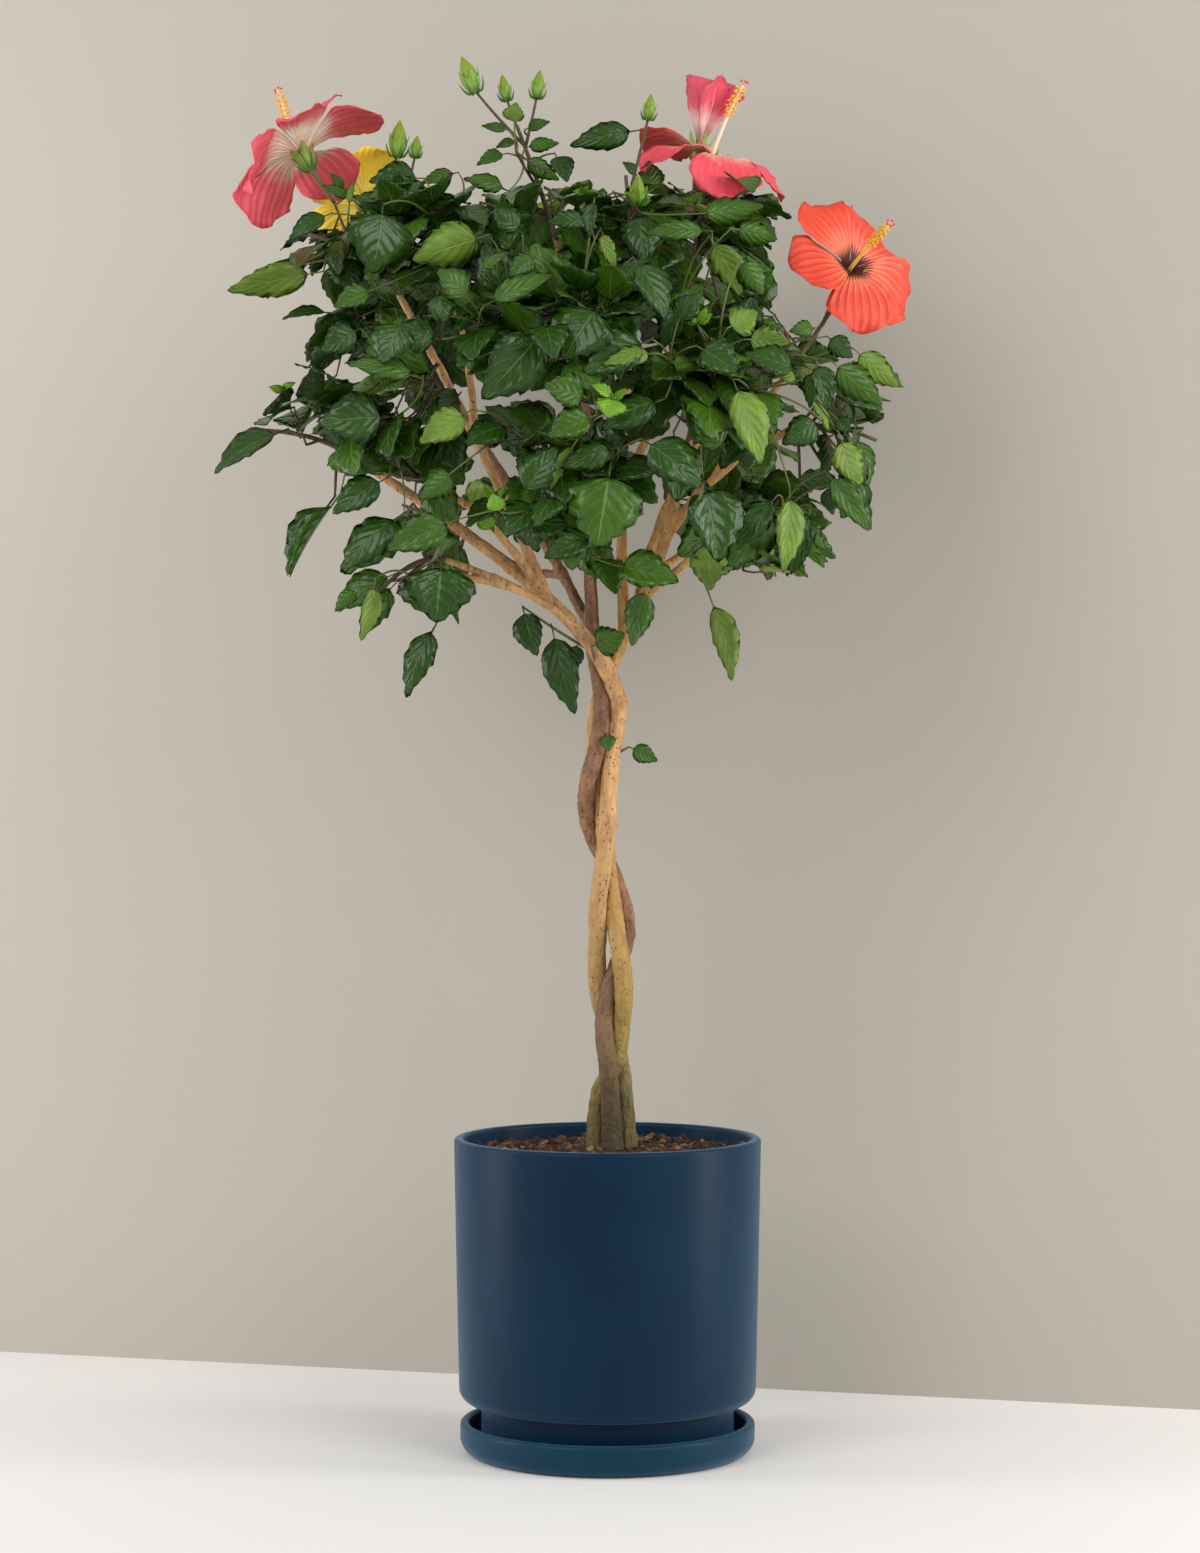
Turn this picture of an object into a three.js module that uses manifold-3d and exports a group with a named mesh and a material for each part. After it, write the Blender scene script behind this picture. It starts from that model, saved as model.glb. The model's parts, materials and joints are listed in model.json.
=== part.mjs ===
// A hibiscus shrub grown as a small standard tree: three stems braided into one trunk, a round
// crown of leafy boughs with five blooms, and the glazed pot and saucer that it lives in.
// Millimetres, +Z up. The origin is the centre of the saucer's flat underside, X is to the
// viewer's right and Y points away from the viewer.

import * as THREE from "three";
import { mergeVertices } from "three/addons/utils/BufferGeometryUtils.js";
import Module from "manifold-3d";

const wasm = await Module();
wasm.setup();

// Clearance between two pieces that touch in the real plant
const GAP = 0.3;

// Saucer
const SAUCER_RADIUS = 129.5;
const SAUCER_HEIGHT = 28;
const SAUCER_WALL = 8;
const SAUCER_FLOOR = 7;
const SAUCER_BASE_RADIUS = 112;
const SAUCER_COVE = 6;

// Pot
const RIM_RADIUS = 135;
const RIM_HEIGHT = 276;
const POT_BASE_RADIUS = 130.5;
const POT_SHOULDER_HEIGHT = 45;
const POT_CORNER = 12;
const POT_WALL = 9;
const POT_FLOOR = 10;
const LIP_ROUND = 3.5;
const FOOT_RADIUS = 111;
const DRAIN_RADIUS = 9;
const ROUND_SEGMENTS = 32;

// Soil
const SOIL_TOP = 265;
const SOIL_CROWN = 2;

// Braided trunk: each stem is thickest at the soil, where it flares
const STEM_SIDES = 8;
const STEM_STEPS = 24;
const STEM_ROOT_RADIUS = 9.3;
const STEM_FOOT_RADIUS = 7.6;
const STEM_TOP_RADIUS = 6.6;
const FLARE_HEIGHT = 34;

// Boughs
const BOUGH_SIDES = 6;
const BOUGH_STEPS = 4;
const BEADS_PER_LIMB = 40;

// Crown: its heart, which all shoots and leaves turn away from
const CROWN_HEART = new THREE.Vector3(-20, 0, 860);

// A mass's own stem and shoots: radii at their foot and tip, and how they fan out
const STEM_TWIG = [3.6, 3];
const STEM_TWIG_SIDES = 4;
const SIDE_TWIG = [1.7, 1.6];
const SIDE_TWIG_SIDES = 3;
const SHOOTS_PER_MASS = 6;
const SHOOT_REACH = [0.5, 0.7];
const SHOOT_TRIES = [1, 0.75, 0.5];
const SHOOT_LAG = 0.35;
const SHOOTS_LEAVE = [0.12, 0.85];
const MOST_INWARD = -0.5;
const STEM_HEAD = 0.4;
const STEM_BEND = 0.4;

// How far a ball of foliage may swell, and how clear its twigs and leaves stay of its walls
// and of the limbs
const BALL_SHARE = 1.04;
const TWIG_WALL = 3.2;
const TWIG_CLEARANCE = 5;
const LEAF_WALL = 0.6;
const LEAF_CLEARANCE = 4;

// Leaves: where they stand on a shoot, their size, and which way they point and face
const LEAF_PLACES = [0.35, 0.55, 0.72, 0.88, 1];
const LEAF_TRIALS = 2;
const LEAF_LENGTH = [54, 74];
const LEAF_BREADTH_SHARE = 0.62;
const LEAF_ROOT_DEPTH = 0.8;
const BLADE_WIDEST = 0.42;
const BLADE_FOLD = 0.1;
const GOLDEN_ANGLE = Math.PI * (3 - Math.sqrt(5));
const LEAF_OUTWARD = 0.6;
const LEAF_FAN = 0.9;
const LEAF_FORWARD = 0.35;
const LEAF_DROOP = 0.35;
const DROOP_SPREAD = 0.5;
const TILT_SPREAD = [0.9, 0.9, 0.6];
const FACE_OUTWARD = 0.9;
const FACE_UPWARD = 0.8;

// Buds and blooms
const BUD_LENGTH = 30;
const BUD_RADIUS = 6.5;
const BUD_SINK = 3;
const PETALS = 5;
const PETAL_ROOT = 3;
const PETAL_THICKNESS = 1.6;
const PETAL_WIDTHS = [0.06, 0.36, 0.72, 0.5];
const PETAL_CUP = 0.12;
const CLOSED_SHARE = 0.6;
const COLUMN_REACH = 0.95;
const COLUMN_ROOM = 10;
const CALYX_LENGTH = 16;
const CALYX_SEAT = 14;
const STALK_RADII = [2, 2.4];

// Finishes
const BLUE_GLAZE = { color: 0x1c3a50, roughness: 0.38, metalness: 0 };
const DARK_SOIL = { color: 0x3a2a20, roughness: 0.95, metalness: 0 };
const TAN_BARK = { color: 0xa37c55, roughness: 0.8, metalness: 0 };
const OLIVE_BARK = { color: 0x86763f, roughness: 0.8, metalness: 0 };
const BROWN_BARK = { color: 0x6b4b3c, roughness: 0.8, metalness: 0 };
const LEAF_GREEN = { color: 0x2f5a26, roughness: 0.45, metalness: 0 };
const YOUNG_GREEN = { color: 0x4f7f33, roughness: 0.5, metalness: 0 };
const CORAL_PETAL = { color: 0xe0475a, roughness: 0.55, metalness: 0 };
const ORANGE_PETAL = { color: 0xee5a33, roughness: 0.55, metalness: 0 };
const YELLOW_PETAL = { color: 0xf2c21c, roughness: 0.55, metalness: 0 };
const FADED_PETAL = { color: 0xd85f78, roughness: 0.6, metalness: 0 };

const UP = new THREE.Vector3(0, 0, 1);

function point(across, depth, height) {
  return new THREE.Vector3(across, depth, height);
}

// Solids and meshes

function solidOf(geometry) {
  const bare = geometry.clone();
  bare.deleteAttribute("normal");
  bare.deleteAttribute("uv");
  const welded = mergeVertices(bare, 1e-4);
  const vertProperties = Float32Array.from(welded.attributes.position.array);
  const triVerts = Uint32Array.from(welded.index.array);
  return new wasm.Manifold(new wasm.Mesh({ numProp: 3, vertProperties, triVerts }));
}

function geometryOf(solid) {
  const cut = solid.getMesh();
  const geometry = new THREE.BufferGeometry();
  geometry.setAttribute("position", new THREE.BufferAttribute(cut.vertProperties, 3));
  geometry.setIndex(new THREE.BufferAttribute(cut.triVerts, 1));
  geometry.computeVertexNormals();
  return geometry;
}

// The largest body of a fused solid: loose scraps are dropped and sealed pockets filled
function oneBody(solid) {
  const bodies = solid.decompose();
  bodies.sort((a, b) => b.volume() - a.volume());
  return bodies[0];
}

function fused(solids) {
  let whole = solids[0];
  for (const solid of solids.slice(1)) {
    whole = whole.add(solid);
  }
  return oneBody(whole);
}

function meshOf(name, geometry, finish) {
  const mesh = new THREE.Mesh(geometry, new THREE.MeshStandardMaterial(finish));
  mesh.name = name;
  return mesh;
}

function turned(profile) {
  const outline = profile.map(([radius, height]) => new THREE.Vector2(radius, height));
  const geometry = new THREE.LatheGeometry(outline, ROUND_SEGMENTS);
  geometry.rotateX(Math.PI / 2);
  return geometryOf(solidOf(geometry));
}

// A quarter round of a turned profile, from one angle to another in degrees
function quarterRound(radius, height, size, from, to, steps) {
  const corner = [];
  for (let step = 0; step <= steps; step += 1) {
    const angle = THREE.MathUtils.degToRad(from + ((to - from) * step) / steps);
    corner.push([radius + size * Math.cos(angle), height + size * Math.sin(angle)]);
  }
  return corner;
}

// A closed round bar along a curve; radiusAt gives its radius from 0 at the foot to 1 at the tip
function barAlong(curve, radiusAt, sides, steps) {
  const bar = new THREE.CylinderGeometry(1, 1, 1, sides, steps);
  const place = bar.attributes.position;
  const side = new THREE.Vector3();
  const front = new THREE.Vector3();
  for (let index = 0; index < place.count; index += 1) {
    const along = THREE.MathUtils.clamp(place.getY(index) + 0.5, 0, 1);
    const heading = curve.getTangent(along);
    side.set(0, 1, 0.01).cross(heading).normalize();
    front.copy(side).cross(heading).negate().normalize();
    const radius = radiusAt(along);
    const spot = curve.getPoint(along);
    spot.addScaledVector(side, place.getX(index) * radius);
    spot.addScaledVector(front, -place.getZ(index) * radius);
    place.setXYZ(index, spot.x, spot.y, spot.z);
  }
  return solidOf(bar);
}

function taper(foot, tip) {
  return (along) => THREE.MathUtils.lerp(foot, tip, along);
}

// Saucer: a low turned dish with a rounded wall and a flat underside

function saucer() {
  const wallRound = SAUCER_WALL / 2;
  const inner = SAUCER_RADIUS - SAUCER_WALL;
  const skirt = SAUCER_RADIUS - SAUCER_BASE_RADIUS;
  const bottom = [[0, 0], [SAUCER_BASE_RADIUS, 0]];
  for (const [out, up] of [[0.7, 0.1], [1, 0.4]]) {
    bottom.push([SAUCER_BASE_RADIUS + skirt * out, SAUCER_HEIGHT * up]);
  }
  const lipHeight = SAUCER_HEIGHT - wallRound;
  const lip = quarterRound(SAUCER_RADIUS - wallRound, lipHeight, wallRound, 0, 180, 4);
  const cove = [[inner, SAUCER_FLOOR + SAUCER_COVE], [inner - SAUCER_COVE, SAUCER_FLOOR]];
  const floor = [...cove, [0, SAUCER_FLOOR]];
  return meshOf("saucer", turned([...bottom, ...lip, ...floor]), BLUE_GLAZE);
}

// Pot: a straight-sided turned pot on a recessed foot, with a drain hole and a rounded lip.
// Heights are taken from the saucer's floor, which the foot stands on.

const POT_SEAT = SAUCER_FLOOR + GAP;
const POT_HEIGHT = RIM_HEIGHT - POT_SEAT;
const SHOULDER = POT_SHOULDER_HEIGHT - POT_SEAT;

function pot() {
  const cornerRadius = POT_BASE_RADIUS - POT_CORNER;
  const corner = quarterRound(cornerRadius, SHOULDER + POT_CORNER, POT_CORNER, -90, 0, 3);
  const lipRadius = RIM_RADIUS - LIP_ROUND;
  const lipHeight = POT_HEIGHT - LIP_ROUND;
  const outerLip = quarterRound(lipRadius, lipHeight, LIP_ROUND, 0, 90, 2);
  const innerRadius = RIM_RADIUS - POT_WALL + LIP_ROUND;
  const innerLip = quarterRound(innerRadius, lipHeight, LIP_ROUND, 90, 180, 2);
  const start = [DRAIN_RADIUS, 0];
  const foot = [start, [FOOT_RADIUS, 0], [FOOT_RADIUS, SHOULDER]];
  const inside = [
    [POT_BASE_RADIUS - POT_WALL, POT_FLOOR + SHOULDER],
    [FOOT_RADIUS - POT_WALL, POT_FLOOR + SHOULDER - POT_CORNER],
    [FOOT_RADIUS - POT_WALL, POT_FLOOR],
    [DRAIN_RADIUS, POT_FLOOR],
  ];
  const profile = [...foot, ...corner, ...outerLip, ...innerLip, ...inside, start];
  return meshOf("pot", turned(profile), BLUE_GLAZE);
}

// Soil: the potting mix that fills the pot to just under its rim

function soil() {
  const slope = (RIM_RADIUS - POT_BASE_RADIUS) / (POT_HEIGHT - SHOULDER);
  const floor = POT_FLOOR + GAP;
  const top = SOIL_TOP - POT_SEAT;
  const base = POT_FLOOR + SHOULDER + GAP;
  const wallAt = (height) => POT_BASE_RADIUS - POT_WALL - 2 * GAP + slope * (height - base) * 0.9;
  const footWall = FOOT_RADIUS - POT_WALL - GAP;
  const profile = [
    [0, floor],
    [footWall, floor],
    [footWall, base - POT_CORNER],
    [wallAt(base), base],
    [wallAt(top) - GAP, top - SOIL_CROWN],
    [wallAt(top) * 0.6, top],
    [0, top],
  ];
  return meshOf("soil", turned(profile), DARK_SOIL);
}

// Braided trunk: where each stem lies, across and in depth, at each level of the braid

const BRAID_LEVELS = [266, 312, 340, 368, 398, 425, 455, 485, 515, 545, 580, 625, 662, 704];
const BRAID = {
  stem_tan: {
    across: [17.5, 14, 11.5, 2.5, -7.5, -9.5, -8.5, -8.5, -4, 0, 1, 5.5, 10, -10.5],
    back: [6.5, 9, 15.5, 14.5, 12, 7, -0.5, -10.5, -15, -12, -7, -4.5, -13.5, -20.5],
    finish: TAN_BARK,
  },
  stem_olive: {
    across: [-9, -7.5, 6.5, 11.5, 14.5, 13, 8, 4, -0.5, -2.5, -6.5, -11.5, -7, 8],
    back: [6, 6.5, 0, 0, -7.5, -10, -5.5, -2, -0.5, 2.5, 5.5, 2.5, 6, 4],
    finish: OLIVE_BARK,
  },
  stem_brown: {
    across: [4.5, 2.5, 0.5, -3, -0.5, 8.5, 17.5, 12.5, 1, -15, -19, -7.5, -5, -12],
    back: [-8, -9.5, -15, -6, -2.5, 5.5, 7.5, 10.5, 15, 11.5, -5, -12, -9.5, -3],
    finish: BROWN_BARK,
  },
};

const stemFoot = SOIL_TOP + GAP;

function stemRadius(along) {
  const height = along * (BRAID_LEVELS.at(-1) - stemFoot);
  const flare = Math.max(0, 1 - height / FLARE_HEIGHT);
  const flared = (STEM_ROOT_RADIUS - STEM_FOOT_RADIUS) * flare * flare;
  return THREE.MathUtils.lerp(STEM_FOOT_RADIUS, STEM_TOP_RADIUS, along) + flared;
}

// Every limb of the plant by name: its curve, its radius along the curve and its solid
const limbs = new Map();

function addLimb(name, curve, radiusAt, sides, steps, finish) {
  let solid = barAlong(curve, radiusAt, sides, steps);
  for (const other of limbs.values()) {
    if (other.swollen.boundingBox().min[2] < solid.boundingBox().max[2]) {
      solid = solid.subtract(other.swollen);
    }
  }
  const swollen = barAlong(curve, (along) => radiusAt(along) + GAP, sides, steps);
  limbs.set(name, { name, curve, radiusAt, finish, solid: oneBody(solid), swollen });
}

// The stems end in one flat cut just above the soil
function braidedStems() {
  const depth = 2 * STEM_ROOT_RADIUS;
  const block = new THREE.BoxGeometry(2 * FOOT_RADIUS, 2 * FOOT_RADIUS, depth);
  block.translate(0, 0, stemFoot - depth / 2);
  const belowSoil = solidOf(block);
  for (const [name, { across, back, finish }] of Object.entries(BRAID)) {
    const spots = BRAID_LEVELS.map((height, level) => point(across[level], back[level], height));
    spots[0].z = stemFoot;
    const curve = new THREE.CatmullRomCurve3(spots);
    addLimb(name, curve, stemRadius, STEM_SIDES, STEM_STEPS, finish);
    const limb = limbs.get(name);
    limb.solid = oneBody(limb.solid.subtract(belowSoil));
  }
}

// Boughs: each leaves its parent at a share of the parent's length, bends once and tapers.
// thick is its thickness where it leaves and at its tip.

const BOUGHS = [
  { name: "bough_left", from: "stem_tan", at: 1,
    bend: [-59, -20, 769], tip: [-230, -10, 878], thick: [13, 6.5], bark: TAN_BARK },
  { name: "bough_upper_left", from: "bough_left", at: 0.3,
    bend: [-113, -35, 894], tip: [-185, -25, 1019], thick: [8.5, 5], bark: BROWN_BARK },
  { name: "bough_left_front", from: "bough_left", at: 0.34,
    bend: [-93, -60, 814], tip: [-140, -85, 838], thick: [7.5, 4.5], bark: TAN_BARK },
  { name: "bough_left_high", from: "bough_upper_left", at: 0.5,
    bend: [-118, -50, 950], tip: [-127, -68, 985], thick: [6, 4.5], bark: BROWN_BARK },
  { name: "bough_left_low", from: "bough_left", at: 0.12,
    bend: [-59, -40, 755], tip: [-140, -60, 780], thick: [6, 4.5], bark: BROWN_BARK },
  { name: "broken_stub", from: "bough_left", at: 0.26,
    bend: [-89, -48, 763], tip: [-128, -62, 765], thick: [6, 5], bark: TAN_BARK },
  { name: "bough_centre", from: "stem_brown", at: 1,
    bend: [-15, 5, 770], tip: [-22, 55, 905], thick: [13, 6], bark: BROWN_BARK },
  { name: "bough_top", from: "bough_centre", at: 0.55,
    bend: [-10, 20, 944], tip: [-45, 0, 1065], thick: [8, 4.5], bark: BROWN_BARK },
  { name: "bough_front_low", from: "bough_centre", at: 0.25,
    bend: [-18, -60, 797], tip: [-28, -110, 823], thick: [7.5, 4.5], bark: TAN_BARK },
  { name: "bough_front_high", from: "bough_centre", at: 0.42,
    bend: [-7, -80, 856], tip: [-28, -130, 910], thick: [7.5, 4.5], bark: TAN_BARK },
  { name: "bough_right", from: "stem_olive", at: 1,
    bend: [51, -5, 774], tip: [69, -90, 880], thick: [13, 6], bark: TAN_BARK },
  { name: "bough_inner", from: "bough_right", at: 0.08,
    bend: [8, 20, 830], tip: [20, -20, 1000], thick: [10, 5], bark: TAN_BARK },
  { name: "bough_top_right", from: "bough_inner", at: 0.5,
    bend: [65, 30, 950], tip: [73, 20, 1033], thick: [7, 4.5], bark: BROWN_BARK },
  { name: "bough_long_right", from: "bough_right", at: 0.38,
    bend: [60, 0, 854], tip: [161, 10, 899], thick: [9, 5.5], bark: TAN_BARK },
  { name: "bough_right_crest", from: "bough_long_right", at: 0.6,
    bend: [130, 0, 911], tip: [160, -10, 950], thick: [6, 4.5], bark: BROWN_BARK },
  { name: "bough_right_low", from: "bough_right", at: 0.3,
    bend: [72, -40, 781], tip: [93, -60, 801], thick: [6.5, 4.5], bark: TAN_BARK },
  { name: "bough_back_left", from: "bough_centre", at: 0.1,
    bend: [-61, 90, 825], tip: [-144, 130, 939], thick: [9.5, 5], bark: TAN_BARK },
  { name: "bough_back", from: "bough_centre", at: 0.5,
    bend: [-24, 100, 880], tip: [-34, 160, 962], thick: [8, 5], bark: BROWN_BARK },
  { name: "bough_back_right", from: "bough_right", at: 0.2,
    bend: [39, 90, 825], tip: [99, 140, 931], thick: [9.5, 5], bark: TAN_BARK },
  { name: "bough_back_low", from: "bough_back", at: 0.35,
    bend: [-40, 100, 850], tip: [-52, 135, 862], thick: [6.5, 4.5], bark: BROWN_BARK },
  { name: "bough_back_low_left", from: "bough_back_left", at: 0.25,
    bend: [-80, 80, 775], tip: [-125, 110, 809], thick: [7, 4.5], bark: TAN_BARK },
  { name: "bough_back_low_right", from: "bough_back_right", at: 0.25,
    bend: [57, 80, 775], tip: [89, 115, 819], thick: [7, 4.5], bark: TAN_BARK },
];

function boughs() {
  for (const plan of BOUGHS) {
    const parent = limbs.get(plan.from);
    const start = parent.curve.getPoint(plan.at);
    if (plan.at === 1) {
      start.addScaledVector(parent.curve.getTangent(1), GAP);
    }
    const curve = new THREE.QuadraticBezierCurve3(start, point(...plan.bend), point(...plan.tip));
    const radiusAt = taper(plan.thick[0] / 2, plan.thick[1] / 2);
    addLimb(plan.name, curve, radiusAt, BOUGH_SIDES, BOUGH_STEPS, plan.bark);
  }
}

// Masses of foliage. Each has a centre and a radius, which together wall off its own space, and
// a stem that goes on from its bough's tip. outer lists the leaves that mark the crown's
// furthest tips, each by its root, its tip and its breadth, and buds the places of large buds.

const MASSES = [
  { name: "leaves_left_tip", bough: "bough_left", centre: [-279, 0, 894], radius: 78,
    outer: [
      { root: [-281, -10, 897], tip: [-346, -10, 858], breadth: 34 },
      { root: [-238, -25, 837], tip: [-279, -35, 767], breadth: 26 },
      { root: [-278, 0, 929], tip: [-292, 0, 944], breadth: 14 },
    ] },
  { name: "leaves_left_crest", bough: "bough_upper_left", centre: [-234, -20, 1043], radius: 92,
    outer: [
      { root: [-250, -10, 1041], tip: [-334, 0, 1020], breadth: 38 },
      { root: [-241, -20, 998], tip: [-285, -30, 991], breadth: 18 },
      { root: [-246, 20, 1082], tip: [-295, 30, 1061], breadth: 34 },
    ],
    buds: [[-184, -20, 1150], [-168, -22, 1137]] },
  { name: "leaves_left_front", bough: "bough_left_front", centre: [-172, -110, 899], radius: 88 },
  { name: "leaves_left_low", bough: "bough_left_low", centre: [-180, -50, 756], radius: 88,
    outer: [
      { root: [-168, -80, 816], tip: [-226, -95, 765], breadth: 44 },
      { root: [-182, -40, 770], tip: [-237, -40, 736], breadth: 30 },
      { root: [-181, -60, 761], tip: [-214, -60, 711], breadth: 26 },
      { root: [-146, -110, 776], tip: [-144, -118, 724], breadth: 56 },
      { root: [-157, -70, 728], tip: [-174, -75, 657], breadth: 36 },
    ] },
  { name: "leaves_upper_left", bough: "bough_left_high", centre: [-133, -80, 1048], radius: 92,
    outer: [{ root: [-183, -95, 1085], tip: [-188, -110, 1024], breadth: 50 }] },
  { name: "leaves_top", bough: "bough_top", centre: [-73, 0, 1131], radius: 88,
    buds: [[-117, 0, 1197], [-89, 0, 1190], [-62, 0, 1192]] },
  { name: "leaves_front_high", bough: "bough_front_high", centre: [-38, -180, 966], radius: 98,
    outer: [{ root: [-7, -230, 980], tip: [-23, -250, 919], breadth: 60 }] },
  { name: "leaves_front_low", bough: "bough_front_low", centre: [-36, -165, 848], radius: 88,
    outer: [{ root: [-15, -225, 845], tip: [-8, -240, 776], breadth: 58 }] },
  { name: "leaves_top_middle", bough: "bough_inner", centre: [11, -50, 1079], radius: 85,
    outer: [{ root: [27, -45, 1152], tip: [-36, -45, 1138], breadth: 34 }],
    buds: [[35, -68, 1160]] },
  { name: "leaves_front_right", bough: "bough_right", centre: [69, -150, 920], radius: 98 },
  { name: "leaves_top_right", bough: "bough_top_right", centre: [87, 40, 1094], radius: 85,
    outer: [
      { root: [113, 20, 1093], tip: [151, 15, 1067], breadth: 34 },
      { root: [81, -20, 1093], tip: [136, -20, 1111], breadth: 34 },
    ] },
  { name: "leaves_right_crest", bough: "bough_right_crest", centre: [168, -20, 983], radius: 85 },
  { name: "leaves_right_tip", bough: "bough_long_right", centre: [204, 10, 886], radius: 85,
    outer: [
      { root: [218, 20, 960], tip: [263, 20, 937], breadth: 34 },
      { root: [191, -30, 930], tip: [241, -30, 912], breadth: 34 },
      { root: [208, -10, 893], tip: [229, -15, 846], breadth: 32 },
      { root: [196, 10, 860], tip: [234, 15, 810], breadth: 34 },
      { root: [168, -30, 843], tip: [156, -35, 767], breadth: 32 },
    ] },
  { name: "leaves_right_low", bough: "bough_right_low", centre: [109, -70, 779], radius: 92,
    outer: [
      { root: [89, -60, 751], tip: [107, -55, 674], breadth: 26 },
      { root: [70, -110, 795], tip: [88, -120, 749], breadth: 34 },
      { root: [77, -140, 835], tip: [92, -155, 766], breadth: 50 },
    ] },
  { name: "leaves_back_left", bough: "bough_back_left", centre: [-191, 150, 1015], radius: 110 },
  { name: "leaves_back", bough: "bough_back", centre: [-44, 190, 1050], radius: 110 },
  { name: "leaves_back_right", bough: "bough_back_right", centre: [105, 160, 1007], radius: 110 },
  { name: "leaves_back_low", bough: "bough_back_low", centre: [-63, 180, 879], radius: 95 },
  { name: "leaves_back_low_right", bough: "bough_back_low_right", centre: [112, 120, 848],
    radius: 90 },
  { name: "leaves_back_low_left", bough: "bough_back_low_left", centre: [-162, 120, 846],
    radius: 88 },
];

// Short shoots straight from the trunk: a stalk and the leaves on it

const TRUNK_SHOOTS = [
  { name: "shoot_fork_left", stalk: [[-11, -19, 701], [-74, -27, 741]],
    leaves: [
      { root: [-74, -27, 741], tip: [-61, -32, 697], breadth: 24 },
      { root: [-49, -24, 725], tip: [-28, -34, 646], breadth: 28 },
      { root: [-26, -21, 711], tip: [-31, -16, 684], breadth: 14 },
    ] },
  { name: "leaf_fork", stalk: [[-10, -17, 690], [-14, -36, 706]],
    leaves: [{ root: [-14, -36, 706], tip: [16, -44, 717], breadth: 24 }] },
  { name: "leaf_trunk_front", stalk: [[1, -8, 626], [-1, -20, 631]],
    leaves: [{ root: [-1, -20, 631], tip: [1, -26, 614], breadth: 13 }] },
  { name: "leaf_trunk_right", stalk: [[5, -5, 612], [19, -6, 619]],
    leaves: [{ root: [19, -6, 619], tip: [45, -8, 606], breadth: 15 }] },
];

// Blooms: each stands on a stalk that goes on from a shoot of its mass. face is the way the
// flower looks, spread the lean of its petals in degrees where they start and at their tips.

const BLOOMS = [
  { name: "bloom_left", mass: "leaves_left_crest", foot: [-239, -15, 1095],
    throat: [-266, -20, 1136], face: [-0.3, 0.3, 0.9], petal: 72, spread: [40, 92],
    finish: CORAL_PETAL },
  { name: "bloom_yellow", mass: "leaves_left_crest", foot: [-205, 35, 1088],
    throat: [-214, 62, 1112], face: [-0.1, 0.85, 0.5], petal: 56, spread: [40, 80],
    finish: YELLOW_PETAL },
  { name: "bloom_top_right", mass: "leaves_top_right", foot: [84, 15, 1098],
    throat: [92, 20, 1140], face: [0.3, 0.05, 0.95], petal: 72, spread: [50, 88],
    finish: CORAL_PETAL },
  { name: "bloom_faded", mass: "leaves_top_right", foot: [78, 86, 1112],
    throat: [84, 97, 1168], face: [0.2, 0.1, 0.97], petal: 62, spread: [8, 20],
    closed: true, petals: 3, finish: FADED_PETAL },
  { name: "bloom_orange", mass: "leaves_right_crest", foot: [189, 0, 990],
    throat: [208, 0, 1037], face: [0.35, -0.82, 0.45], petal: 60, spread: [45, 84],
    finish: ORANGE_PETAL },
];

function seeded(seed) {
  let state = seed;
  return () => {
    state = (state * 48271) % 2147483647;
    return state / 2147483647;
  };
}

// How far a spot lies inside a mass's own space: its ball, cut by the walls to its neighbours
function roomInside(mass, spot) {
  let room = mass.radius * BALL_SHARE - spot.distanceTo(mass.centre);
  for (const other of masses) {
    if (other !== mass) {
      const own = spot.distanceToSquared(mass.centre) - mass.radius ** 2;
      const theirs = spot.distanceToSquared(other.centre) - other.radius ** 2;
      const apart = mass.centre.distanceTo(other.centre);
      room = Math.min(room, (theirs - own) / (2 * apart));
    }
  }
  return room;
}

// How far a spot lies from the bark of the nearest limb or flower stalk
function clearOfLimbs(spot) {
  let clear = Infinity;
  for (const bead of limbBeads) {
    clear = Math.min(clear, spot.distanceTo(bead.spot) - bead.radius);
  }
  return clear;
}

function insideBloom(spot) {
  return blooms.some((bloom) => {
    const offset = spot.clone().sub(bloom.throat);
    const ahead = offset.dot(bloom.face);
    const aside = offset.addScaledVector(bloom.face, -ahead).length();
    const cup = bloom.petal * (bloom.closed ? 0.4 : 1);
    const petals = ahead > -CALYX_SEAT && ahead < cup && aside < cup;
    return petals || (ahead > 0 && ahead < bloom.petal * 1.1 && aside < COLUMN_ROOM);
  });
}

// Test spots on a leaf: share of its length, and of its half breadth to either side
const LEAF_SPOTS = [
  [0.1, 0], [0.25, 0], [0.42, 0], [0.6, 0], [0.8, 0], [1, 0], [0.25, 0.4], [0.25, -0.4],
  [0.42, 0.5], [0.42, -0.5], [0.42, 1], [0.42, -1], [0.7, 0.4], [0.7, -0.4],
];
const TWIG_SPOTS = [0.15, 0.3, 0.45, 0.6, 0.75, 0.9, 1];

function leafFits(mass, leaf) {
  const half = leaf.breadth / 2;
  for (const [along, aside] of LEAF_SPOTS) {
    const spot = leaf.root.clone().lerp(leaf.tip, along);
    spot.addScaledVector(leaf.side, aside * half);
    const crowded = clearOfLimbs(spot) < LEAF_CLEARANCE || insideBloom(spot);
    if (crowded || roomInside(mass, spot) < LEAF_WALL) {
      return false;
    }
  }
  return true;
}

// The blade's widest spots, left and right of its folded midrib
function bladeEdges(leaf) {
  const middle = leaf.root.clone().lerp(leaf.tip, BLADE_WIDEST);
  middle.addScaledVector(leaf.face, leaf.breadth * BLADE_FOLD);
  const half = leaf.breadth / 2;
  return [-half, half].map((aside) => middle.clone().addScaledVector(leaf.side, aside));
}

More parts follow.
